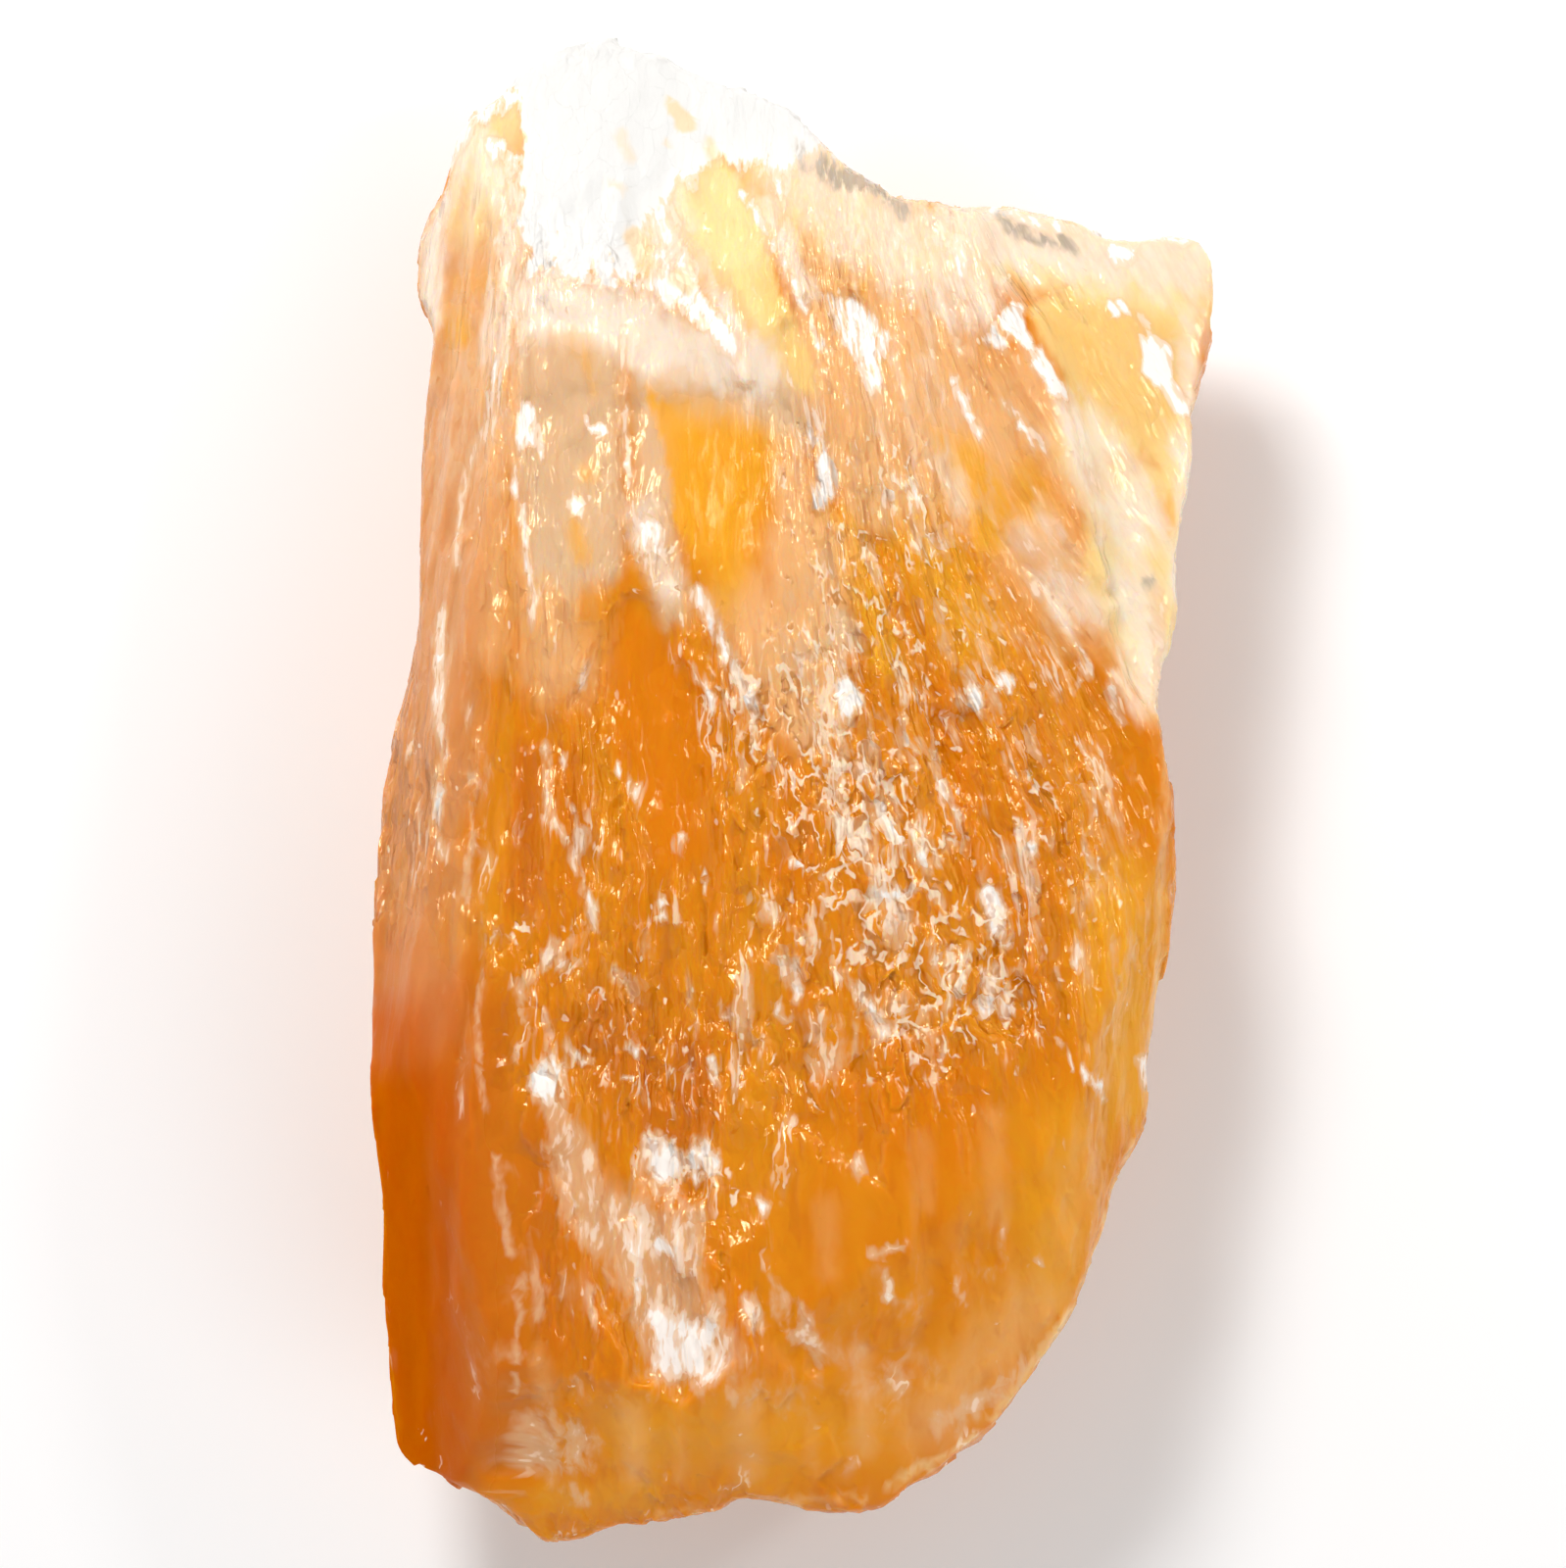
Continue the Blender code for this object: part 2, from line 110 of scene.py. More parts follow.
# Marks on the front. Each is a soft stroke through some (x, y) points, or a shape with some
# (x, y) corners. Its last two numbers are its reach, or the softness of its edge, and its
# strength. Frost is where the surface is broken and looks white. Haze is wide, faint frost.
FROST_SHAPES = [
    # Under the white end
    ((-8.7, 25.4), (-6.8, 26.0), (-5.2, 25.9), (-3.9, 24.0), (-2.6, 22.6), (-3.0, 21.2), (-4.2, 22.6),
     (-5.8, 23.9), (-7.2, 24.6), 0.25, 1.3),
    ((-9.2, 30.5), (-6.4, 30.4), (-5.0, 27.6), (-3.9, 25.2), (-5.0, 25.4), (-8.6, 25.2), 0.6, 0.9),
    ((-15.9, 33.2), (-14.9, 33.2), (-14.9, 32.0), (-15.7, 31.8), 0.3, 1.25),
    ((-14.1, 19.7), (-13.2, 19.5), (-12.6, 17.0), (-12.8, 16.2), (-13.3, 16.8), (-14.5, 16.8), 0.25, 1.1),
    ((-11.2, 19.0), (-10.2, 18.5), (-9.2, 18.2), (-10.2, 17.4), (-10.7, 18.0), 0.15, 1.3),
    ((-11.3, 14.9), (-10.3, 14.4), (-10.8, 13.2), (-11.6, 13.8), 0.2, 1.1),
    ((-8.6, 14.0), (-7.0, 13.6), (-6.0, 12.0), (-6.0, 9.8), (-7.4, 10.0), (-8.2, 11.6), 0.4, 1.04),
    # Upper middle
    ((1.2, 25.0), (2.3, 25.1), (3.7, 24.3), (4.9, 23.0), (4.9, 21.8), (4.4, 20.0), (3.6, 19.6), (3.0, 21.6),
     (2.4, 22.2), (1.7, 24.0), 0.25, 1.15),
    ((0.4, 19.2), (1.0, 18.8), (2.0, 17.0), (2.3, 15.3), (1.9, 14.0), (0.9, 13.8), (0.9, 16.4), (0.6, 17.6),
     0.25, 0.98),
    ((4.0, 15.8), (5.0, 16.3), (6.2, 15.6), (7.0, 14.2), (6.2, 13.6), (5.4, 14.6), (4.6, 13.4), (4.1, 14.6),
     0.3, 0.8),
    ((7.9, 28.4), (9.4, 28.6), (9.2, 26.2), (9.0, 24.2), (8.2, 24.4), (7.6, 26.0), 0.5, 0.95),
    ((4.0, 30.0), (6.0, 29.2), (6.6, 27.4), (5.0, 27.0), (4.2, 28.0), 0.6, 0.8),
    # Upper right
    ((10.4, 23.5), (11.4, 24.8), (12.0, 24.4), (12.2, 22.8), (13.3, 21.2), (14.1, 19.9), (13.3, 19.8),
     (12.5, 20.9), (11.6, 22.5), (10.8, 23.2), 0.2, 1.5),
    ((18.0, 23.2), (19.4, 22.8), (19.7, 21.2), (18.9, 20.2), (18.0, 21.4), 0.3, 1.5),
    ((17.6, 24.0), (18.2, 24.1), (19.0, 22.6), (18.2, 22.4), 0.3, 0.9),
    ((19.0, 20.9), (19.5, 21.1), (20.6, 19.4), (20.4, 18.6), (19.5, 19.4), 0.25, 1.5),
    ((15.2, 17.4), (17.6, 17.2), (18.0, 16.0), (16.8, 14.4), (15.2, 14.4), (14.8, 16.0), 0.6, 0.66),
    ((11.2, 13.2), (12.2, 11.4), (13.4, 10.8), (15.2, 11.3), (14.8, 12.4), (13.2, 12.0), 0.35, 0.78),
    ((11.7, 10.3), (12.8, 10.6), (14.0, 9.8), (13.0, 9.2), (11.8, 9.4), 0.35, 0.72),
    ((14.2, 7.6), (14.8, 7.3), (15.5, 6.0), (15.4, 5.1), (14.6, 5.0), (14.6, 6.2), 0.2, 1.15),
    # Middle
    ((8.2, 4.8), (9.0, 5.1), (9.8, 4.4), (9.5, 3.2), (8.6, 3.1), (8.1, 3.8), 0.25, 0.98),
    ((8.0, -1.0), (8.8, -0.8), (9.2, -1.8), (8.4, -2.2), (7.8, -1.8), 0.35, 0.8),
    ((6.0, -3.4), (7.4, -3.4), (7.7, -4.7), (6.9, -4.8), 0.2, 0.95),
    ((4.3, -3.2), (5.4, -3.2), (5.8, -3.9), (5.2, -4.6), (4.4, -4.2), 0.3, 0.92),
    ((4.2, -5.4), (5.6, -5.0), (7.2, -4.8), (6.6, -5.8), (5.2, -6.2), (4.4, -6.0), 0.3, 0.92),
    ((9.4, -5.6), (10.2, -5.4), (10.9, -6.6), (11.3, -8.4), (10.9, -9.2), (10.2, -8.2), (9.8, -6.8),
     0.25, 1.2),
    ((9.4, -9.4), (11.6, -9.2), (11.9, -11.8), (11.0, -12.4), (9.9, -12.6), (9.2, -11.6), 0.3, 0.95),
    ((-14.9, -10.2), (-14.2, -10.2), (-13.0, -9.0), (-12.4, -7.7), (-11.3, -8.1), (-11.8, -9.6),
     (-13.0, -9.8), (-13.7, -10.6), (-13.9, -12.0), (-14.4, -11.8), 0.25, 0.85),
    ((-9.8, -8.8), (-9.2, -9.6), (-8.2, -9.4), (-7.8, -11.4), (-8.0, -12.6), (-8.8, -12.2), (-8.9, -10.6),
     (-9.6, -10.0), 0.3, 0.68),
    # The frosted band at the lower left, its head and its foot
    ((-12.0, -13.3), (-11.7, -15.0), (-10.7, -17.2), (-9.9, -19.2), (-9.3, -21.0), (-7.4, -21.4),
     (-5.6, -21.8), (-4.8, -23.0), (-4.4, -25.0), (-3.6, -26.6), (-3.4, -28.8), (-3.8, -30.4),
     (-4.6, -30.8), (-7.2, -30.3), (-7.9, -28.8), (-8.8, -26.6), (-9.9, -24.6), (-11.4, -23.2),
     (-12.5, -21.2), (-12.8, -18.0), (-13.6, -15.8), (-13.2, -14.4), 0.6, 0.66),
    ((-12.1, -13.3), (-11.8, -15.0), (-12.4, -16.8), (-13.6, -15.8), (-13.3, -14.6), 0.25, 1.15),
    ((-8.5, -25.6), (-7.4, -26.6), (-6.0, -27.2), (-4.6, -27.4), (-3.9, -26.2), (-3.3, -28.6), (-3.7, -30.4),
     (-4.6, -30.8), (-7.2, -30.4), (-7.9, -28.8), 0.6, 1.16),
    ((-9.2, -22.6), (-8.4, -23.0), (-7.6, -26.2), (-8.6, -26.2), 0.4, 0.95),
    ((-7.6, -18.1), (-6.8, -18.0), (-6.2, -19.0), (-5.2, -18.7), (-4.4, -18.5), (-3.8, -19.4), (-4.3, -20.6),
     (-5.0, -20.9), (-6.0, -20.2), (-6.4, -21.0), (-7.1, -20.8), (-7.7, -19.8), 0.25, 0.92),
    ((-3.0, -26.2), (-2.0, -26.0), (-1.5, -27.2), (-1.5, -28.0), (-2.6, -28.1), 0.25, 0.7),
    ((-1.4, -25.2), (-0.4, -25.6), (0.6, -27.0), (1.4, -29.0), (1.9, -30.2), (0.8, -29.6), (-0.4, -28.6),
     (-1.2, -27.0), 0.3, 0.64),
    ((-15.0, -33.4), (-13.8, -32.2), (-12.2, -31.8), (-10.4, -32.6), (-9.8, -34.2), (-10.6, -35.6),
     (-12.4, -36.0), (-14.8, -35.0), 0.7, 0.47),
]
FROST_STROKES = [
    # The margins of the left face
    ((-18.2, 32.0), (-16.8, 34.2), (-14.4, 35.6), 0.6, 1.2),
    ((-14.6, 32.0), (-14.4, 28.6), 0.4, 0.85),
    ((-15.6, 28.4), (-15.3, 27.8), 0.5, 0.75),
    ((-13.1, 27.4), (-14.2, 25.4), (-15.0, 22.6), (-15.6, 19.8), (-15.9, 17.4), 0.35, 0.95),
    ((-14.3, 24.4), (-14.9, 21.6), (-15.2, 19.6), 0.2, 0.9),
    ((-16.3, 17.8), (-16.8, 15.6), (-17.2, 13.0), (-17.3, 11.0), 0.25, 0.75),
    ((-18.2, 8.4), (-18.2, 4.0), (-18.0, 1.5), (-18.2, -1.0), (-18.1, -3.6), 0.35, 0.92),
    ((-16.6, 0.4), (-16.4, -2.0), (-16.8, -6.4), 0.3, 0.6),
    # Above the middle
    ((-8.8, 23.3), (-8.7, 18.0), (-8.4, 15.2), (-8.0, 13.6), 0.25, 0.85),
    ((-13.5, 8.4), (-13.4, 10.2), (-13.6, 12.0), (-14.0, 14.2), (-14.3, 16.4), 0.32, 0.9),
    ((-2.7, 30.4), (-1.2, 28.0), (-0.2, 26.0), (0.4, 24.4), (1.6, 22.0), 0.28, 1.0),
    ((-0.6, 21.6), (0.2, 19.8), (1.0, 18.4), 0.25, 0.85),
    ((8.2, 20.6), (8.9, 19.2), (9.5, 17.7), 0.35, 1.15),
    ((10.8, 19.4), (11.6, 18.6), (12.9, 16.9), 0.28, 0.95),
    ((10.2, 22.7), (10.5, 22.4), 0.45, 1.4),
    ((16.8, 27.4), (17.2, 27.2), 0.6, 1.7),
    ((16.6, 24.6), (17.0, 24.3), 0.45, 1.4),
    ((10.4, 29.6), (14.0, 28.8), (21.0, 28.2), 0.5, 1.0),
    ((16.2, 4.6), (16.8, 3.0), 0.35, 0.75),
    ((18.9, 9.6), (18.9, 3.6), 0.4, 0.6),
    # Veins to the left of the middle
    ((-12.7, 1.6), (-12.5, 0.0), (-12.3, -1.6), (-11.7, -3.0), (-11.0, -4.6), (-10.4, -6.2), (-10.2, -7.6),
     0.28, 0.88),
    ((-10.9, -2.6), (-10.9, -3.4), 0.38, 1.0),
    ((-10.5, -5.8), (-10.3, -6.6), 0.38, 1.05),
    ((-10.7, 6.2), (-10.8, 4.6), 0.3, 0.9),
    ((-5.3, 6.3), (-5.1, 5.3), (-4.4, 4.6), (-4.1, 3.6), 0.22, 0.9),
    ((-4.9, 9.6), (-3.8, 7.0), (-2.6, 5.0), (-2.0, 3.9), 0.45, 0.98),
    ((-9.0, 0.8), (-8.5, 0.0), (-8.1, -0.9), 0.2, 1.1),
    ((-11.9, 1.2), (-11.7, 1.0), 0.3, 1.0),
    ((-11.4, -1.1), (-11.2, -1.3), 0.3, 1.1),
    ((-6.0, -3.6), (-5.7, -3.0), 0.26, 1.1),
    ((-6.7, -5.8), (-6.6, -7.0), 0.17, 1.05),
    ((-4.7, -4.4), (-4.5, -5.3), 0.18, 1.05),
    ((-11.3, -13.6), (-10.8, -14.4), (-10.4, -14.2), 0.2, 1.0),
    ((-8.4, -13.5), (-8.0, -13.9), 0.25, 1.1),
    ((-8.6, -15.0), (-8.0, -15.6), 0.2, 1.05),
    ((-4.2, -14.2), (-3.9, -15.6), 0.26, 1.0),
    ((-3.8, -11.6), (-3.6, -11.9), 0.26, 1.0),
    # Sugary spots in the middle
    ((2.6, 4.6), (2.9, 4.1), 0.55, 1.7),
    ((10.6, 5.2), (11.1, 5.1), 0.28, 1.3),
    ((0.0, -4.2), (0.4, -4.3), 0.28, 1.1),
    ((5.9, 2.2), (7.0, 1.2), (7.8, -0.6), 0.45, 0.72),
    ((3.6, 0.4), (4.8, -1.0), (5.4, -2.4), 0.8, 0.78),
    ((2.2, -9.6), (3.6, -11.4), (4.6, -13.0), 0.45, 0.8),
    ((7.0, -8.6), (7.8, -9.8), 0.35, 0.92),
    ((11.6, -2.6), (12.2, -3.9), 0.35, 0.9),
    ((14.4, -8.6), (14.5, -9.6), 0.26, 0.9),
    ((-2.2, -6.0), (-0.6, -7.0), (0.6, -8.2), 0.5, 0.68),
    ((-0.6, -8.6), (0.2, -11.0), 0.6, 0.68),
    ((-1.2, -11.4), (-0.4, -12.2), 0.3, 0.85),
    # Lower right
    ((13.5, -13.0), (13.8, -13.8), (14.5, -14.8), (15.6, -15.6), (16.0, -16.2), 0.22, 0.95),
    ((17.9, -14.2), (18.3, -15.8), 0.35, 1.0),
    ((3.2, -24.0), (4.2, -24.1), (5.4, -23.8), 0.25, 0.72),
    ((4.8, -25.4), (4.9, -26.4), 0.26, 0.8),
    ((8.4, -25.6), (8.7, -26.8), 0.22, 0.72),
    ((12.3, -24.8), (12.7, -24.8), 0.28, 0.72),
    ((3.2, -19.4), (3.4, -19.8), 0.4, 0.6),
    ((7.4, -33.0), (8.6, -32.6), (10.2, -31.6), (11.8, -30.2), 0.7, 0.5),
    # Lower left
    ((-8.3, -24.0), (-8.0, -26.6), 0.32, 1.05),
    ((-6.7, -23.6), (-6.4, -23.9), 0.42, 1.6),
    ((-4.9, -18.7), (-4.6, -19.0), 0.4, 1.4),
    ((-7.0, -21.0), (-5.6, -22.6), 1.2, 0.55),
    ((-15.3, -19.0), (-14.8, -21.6), (-14.5, -24.2), 0.34, 0.62),
    ((-13.9, -25.4), (-14.0, -28.0), (-14.3, -31.2), 0.22, 0.56),
    ((-13.2, -25.4), (-12.8, -27.4), 0.3, 0.48),
    ((-16.0, -6.0), (-16.1, -12.0), (-15.8, -17.0), 0.2, 0.5),
    ((-12.9, -18.4), (-12.8, -22.6), 0.2, 0.5),
    ((-10.4, -25.6), (-10.2, -28.0), 0.22, 0.5),
    ((-1.7, -21.4), (-1.5, -21.8), 0.3, 0.95),
    ((-3.3, -31.2), (-3.1, -31.7), 0.3, 0.65),
    ((-11.4, -36.7), (-11.0, -36.9), 0.6, 0.5),
]
HAZE_STROKES = [
    ((-16.0, 30.0), (-18.0, 14.0), 2.6, 0.34),
    ((-14.6, 24.0), (-15.6, 15.0), 1.0, 0.55),
    ((-4.6, 8.4), (-2.4, 3.6), 1.4, 0.34),
    ((3.0, 26.0), (9.0, 8.0), 6.0, 0.32),
    ((1.0, 30.5), (9.0, 27.5), 2.6, 0.55),
    ((0.0, 11.0), (1.4, 6.0), 2.4, 0.34),
    ((3.6, 1.0), (7.2, -9.6), 4.4, 0.34),
    ((-14.0, -30.0), (8.0, -31.0), 3.0, 0.24),
    ((-17.0, 8.0), (-15.0, -16.0), 3.0, 0.18),
    ((-14.0, -8.0), (2.0, -14.0), 3.6, 0.26),
    ((12.6, 3.0), (15.0, -8.0), 4.4, 0.28),
    ((-14.4, -20.0), (-12.6, -29.0), 1.8, 0.26),
    ((8.0, 30.0), (21.0, 26.0), 3.0, 0.40),
    ((17.6, 20.0), (15.0, 13.0), 4.0, 0.30),
    ((6.0, -27.0), (11.0, -24.0), 3.0, 0.22),
]
# A cream veil over the colours: partly the stone's pale haze, partly painted sheen
VEIL_AND_SHEEN_STROKES = [
    ((-1.4, 29.6), (0.6, 24.8), 0.9, 0.7),
    ((-7.0, 30.0), (-6.0, 27.0), 1.6, 0.8),
    ((-5.2, 27.4), (-3.9, 24.6), (-2.6, 22.6), 0.6, 0.7),
    ((-17.0, 33.6), (-15.2, 30.0), 1.4, 0.8),
    ((1.6, 30.8), (9.0, 25.4), 2.8, 0.8),
    ((9.0, 28.5), (20.0, 27.2), 2.2, 1.0),
    ((15.0, 18.0), (17.5, 13.5), 2.2, 0.75),
    ((-14.2, 29.0), (-15.0, 22.0), 1.2, 0.75),
    ((-18.8, 30.0), (-19.2, 24.0), 1.0, 0.8),
    ((-13.4, 24.6), (-8.6, 23.8), 1.7, 1.0),
    ((-8.6, 23.0), (-1.8, 21.2), 1.5, 1.0),
    ((-8.0, 13.6), (-6.6, 10.0), 0.9, 0.7),
    ((5.0, 21.0), (8.0, 14.0), 2.2, 0.35),
    ((17.2, 10.0), (18.6, 4.8), 1.5, 0.7),
    ((12.6, 12.6), (15.0, 9.0), 1.6, 0.6),
    ((20.6, 24.0), (20.2, 10.0), 0.9, 0.7),
]
# The colours under the frost. MARKS, below, gives the colour of each
PEACH_STROKES = [
    ((-16.5, 34.0), (-17.4, 18.0), 2.8, 1.5),
    ((-17.4, 18.0), (-18.0, 8.0), 2.0, 0.6),
    ((-13.0, 11.0), (-12.0, 6.0), 2.2, 0.7),
    ((0.8, 31.0), (3.0, 25.6), 2.6, 1.2),
    ((3.0, 22.0), (9.0, 18.0), 4.0, 1.0),
    ((0.6, 12.0), (0.8, 4.0), 2.0, 0.95),
    ((-2.5, 9.0), (0.0, 5.0), 2.0, 0.8),
    ((-0.8, 20.0), (0.6, 11.0), 1.0, 0.9),
    ((12.5, 12.5), (15.0, 9.0), 2.4, 0.8),
    ((-17.4, 4.0), (-17.0, -8.0), 1.6, 0.3),
    ((-15.6, 16.0), (-15.6, 7.0), 1.6, 0.6),
    ((-3.6, 27.0), (-2.0, 23.0), 1.2, 0.9),
    ((12.0, 21.0), (14.6, 15.0), 1.6, 0.7),
    ((15.0, -19.0), (13.4, -25.0), 1.4, 0.3),
    ((12.6, -27.0), (7.0, -33.0), 2.2, 0.42),
    ((2.6, 17.6), (4.4, 14.2), 1.6, 0.9),
    # Faint streaks near the bottom
    ((-13.0, -29.6), (-12.8, -31.4), 0.7, 0.42),
    ((-8.2, -32.4), (-8.1, -35.8), 0.9, 0.42),
    ((-5.9, -33.4), (-5.8, -36.0), 0.5, 0.32),
    ((-2.6, -31.2), (-2.4, -35.2), 1.0, 0.40),
    ((0.8, -32.6), (0.9, -35.2), 0.5, 0.34),
    ((3.4, -29.4), (3.7, -34.2), 0.9, 0.42),
    ((6.6, -29.6), (6.8, -32.4), 0.6, 0.34),
    ((1.6, -21.6), (1.8, -25.0), 0.8, 0.34),
    ((6.6, -18.4), (6.8, -21.6), 0.7, 0.32),
    ((10.2, -17.2), (10.4, -22.4), 0.8, 0.36),
]
BEIGE_SHAPES = [
    ((-13.6, 28.0), (-9.0, 28.0), (-8.6, 23.0), (-8.8, 16.0), (-8.9, 10.4), (-11.0, 9.6), (-13.4, 10.6),
     (-14.2, 16.0), (-14.0, 22.0), 0.8, 0.9),
    ((-8.8, 28.0), (-5.6, 27.0), (-3.0, 23.0), (0.0, 21.2), (0.8, 17.6), (-6.0, 18.0), (-6.0, 13.0),
     (-5.6, 10.0), (-5.2, 8.4), (-6.6, 8.0), (-7.4, 9.6), (-8.0, 11.6), 0.7, 0.85),
    ((1.4, 9.0), (2.6, 8.8), (3.6, 7.0), (2.6, 6.2), (1.6, 6.8), 0.4, 0.7),
    ((-12.4, -15.0), (-10.4, -19.0), (-7.4, -21.6), (-4.8, -23.0), (-3.8, -29.0), (-7.2, -29.0),
     (-9.9, -24.4), (-12.4, -20.0), 0.8, 0.45),
]
GOLD_SHAPES = [
    # The pale band beside the white end
    ((-6.0, 30.8), (-4.3, 32.2), (-3.3, 31.8), (-2.2, 30.0), (-1.6, 27.8), (-1.1, 26.0), (-0.3, 24.2),
     (0.9, 21.2), (1.4, 19.6), (0.2, 19.8), (-0.9, 21.4), (-1.6, 22.8), (-2.8, 25.0), (-3.8, 27.0),
     (-4.9, 28.4), (-6.0, 29.2), 0.35, 1.0),
    # The clear flange
    ((12.2, 24.6), (14.0, 25.4), (20.8, 27.0), (21.0, 22.0), (20.2, 16.8), (19.2, 16.0), (18.0, 17.0),
     (15.2, 17.6), (14.2, 19.2), (14.0, 20.8), (12.6, 22.8), 0.5, 0.9),
    ((14.8, 15.6), (20.0, 16.4), (19.8, 10.0), (19.2, 6.4), (17.8, 6.0), (15.0, 9.6), 0.7, 0.85),
]
PANE_SHAPES = [
    # The golden pane in the upper middle
    ((-7.7, 20.4), (-6.4, 19.4), (-5.2, 18.0), (-4.6, 14.0), (-5.2, 11.6), (-6.2, 13.6), (-6.5, 17.0),
     (-7.1, 18.4), 0.22, 1.1),
    ((-6.8, 19.6), (-5.4, 19.6), (-3.6, 19.2), (-1.6, 18.6), (-1.0, 17.2), (-1.2, 15.6),
     (-1.5, 13.6), (-1.9, 12.0), (-2.4, 9.6), (-3.2, 8.2), (-4.0, 8.4), (-5.0, 11.0), (-5.8, 13.6),
     1.4, 0.9),
    ((6.9, 18.4), (8.6, 17.8), (10.4, 16.4), (11.4, 14.2), (10.8, 11.6), (9.4, 11.6), (8.6, 13.6),
     (7.6, 15.6), (6.9, 17.0), 0.5, 0.75),
    ((11.2, 17.4), (12.6, 16.4), (13.9, 14.0), (13.6, 12.8), (11.6, 13.0), (10.8, 14.6), 0.5, 0.6),
    ((12.6, 24.0), (14.0, 24.4), (15.4, 23.2), (16.6, 21.6), (15.8, 18.6), (15.0, 18.2), (14.4, 19.6),
     (14.2, 21.0), (12.9, 22.8), 0.6, 0.36),
]
PANE_STROKES = [
    ((-17.6, 24.0), (-17.3, 22.8), 0.9, 0.7),
    ((-17.2, 25.8), (-15.4, 25.4), 0.8, 0.5),
    ((-11.5, 22.9), (-10.9, 22.4), 0.8, 0.6),
    ((-10.6, 21.6), (-10.3, 19.8), 0.5, 0.5),
    ((-10.8, 15.9), (-10.4, 15.6), 0.5, 0.55),
    ((-11.2, 12.8), (-10.8, 11.4), 0.6, 0.6),
    ((9.5, 25.6), (9.9, 23.6), 0.5, 0.6),
    ((-1.0, 29.6), (-0.6, 28.6), 0.35, 0.6),
    ((2.9, 26.2), (3.4, 25.0), 0.4, 0.55),
    ((19.2, 14.4), (19.2, 13.0), 0.9, 0.6),
]
YELLOW_STROKES = [
    ((3.8, 9.0), (4.8, 6.2), 0.9, 0.8),
    ((16.8, -6.0), (17.4, -16.0), 2.6, 0.7),
    ((14.0, -18.0), (13.0, -26.0), 2.6, 0.6),
    ((12.4, -26.0), (8.0, -31.0), 2.6, 0.45),
    ((2.4, 13.0), (3.6, 10.0), 1.3, 0.8),
    ((5.6, 14.0), (9.0, 8.0), 2.2, 0.7),
    ((-8.0, -33.4), (4.0, -33.0), 3.0, 0.5),
    ((-12.6, -37.0), (-8.0, -36.6), 1.2, 0.5),
]
AMBER_SHAPES = [
    ((-8.6, 10.8), (-7.9, 9.0), (-7.2, 7.6), (-6.0, 6.9), (-5.2, 6.4), (-4.6, 5.0), (-4.2, 2.0),
     (-4.8, -4.0), (-7.0, -5.0), (-8.0, 0.0), (-9.4, 2.0), (-9.6, 6.0), (-9.1, 8.0), 0.6, 0.95),
    ((1.9, 13.4), (2.6, 14.6), (3.8, 13.4), (4.6, 11.2), (4.6, 7.0), (3.6, 7.2), (3.4, 9.4), (2.2, 10.6),
     0.4, 0.6),
    ((7.2, 5.6), (8.0, 5.4), (8.2, 2.6), (9.6, 0.4), (9.4, -4.0), (10.8, -4.6), (8.6, -5.4), (8.0, -3.0),
     (7.6, 0.6), (6.8, 3.0), 0.5, 0.9),
    ((-2.6, -3.6), (0.4, -2.0), (1.0, -6.0), (-0.6, -5.4), 0.5, 0.8),
    ((5.0, -12.6), (9.4, -13.0), (11.0, -16.0), (9.0, -20.6), (3.0, -20.0), (1.0, -15.0), 1.2, 0.7),
]
# The lower left edge, darker and redder: partly the stone's own deep orange, partly painted shade
DEEP_AND_SHADED_STROKES = [
    ((-20.6, -9.0), (-20.6, -13.0), 2.4, 0.4),
    ((-20.6, -13.0), (-20.6, -17.0), 2.8, 0.75),
    ((-20.6, -17.0), (-20.2, -35.0), 3.2, 1.15),
    ((-18.0, -11.0), (-17.4, -18.0), 1.2, 0.45),
    ((-17.0, -20.0), (-17.0, -33.0), 1.6, 0.45),
]
DEEP_STROKES = [
    ((-17.4, -12.0), (-15.6, -33.0), 3.0, 0.85),
    ((-13.4, -18.0), (-12.6, -28.0), 2.6, 0.6),
    ((-13.6, 1.0), (-13.8, -6.0), 0.9, 0.7),
    ((-11.5, 1.0), (-11.0, -3.5), 1.2, 0.5),
    ((-9.6, -13.0), (-6.0, -17.0), 2.4, 0.6),
    ((-5.4, -14.0), (-5.0, -17.0), 1.2, 0.8),
]
# The left face's rose tone: partly its own colour, partly painted sheen
ROSE_SHEEN_STROKES = [
    ((-17.8, 27.0), (-18.4, 18.0), 2.6, 0.55),
    ((-18.8, 18.0), (-19.2, 0.0), 2.8, 1.0),
    ((-19.4, 0.0), (-19.6, -12.0), 2.4, 0.8),
]
# Pale parts of the flange and the upper end: partly their own pale tone, partly painted glow of light coming
# through the thin flange and falling brightest near the top
PALE_AND_GLOW_STROKES = [
    ((-14.8, 35.0), (-16.4, 33.4), (-16.4, 29.0), 1.8, 0.6),
    ((-8.0, 31.0), (-6.0, 32.0), (-3.2, 28.0), 2.2, 1.0),
    ((-7.6, 30.6), (-6.6, 27.0), 1.4, 0.9),
    ((10.0, 29.6), (16.0, 28.4), (21.0, 27.8), 1.2, 1.2),
    ((-3.0, 26.4), (-1.4, 22.6), 0.9, 0.5),
    ((-1.6, 32.0), (2.0, 32.0), 1.0, 0.9),
    ((1.0, 30.4), (8.5, 27.0), 2.4, 0.75),
    ((11.5, 28.0), (20.5, 26.2), 2.2, 1.1),
    ((20.4, 17.0), (19.4, 4.5), 1.6, 0.8),
    ((15.2, 17.0), (17.4, 15.0), 2.0, 0.8),
    ((17.2, 11.5), (18.4, 6.0), 1.8, 0.8),
]
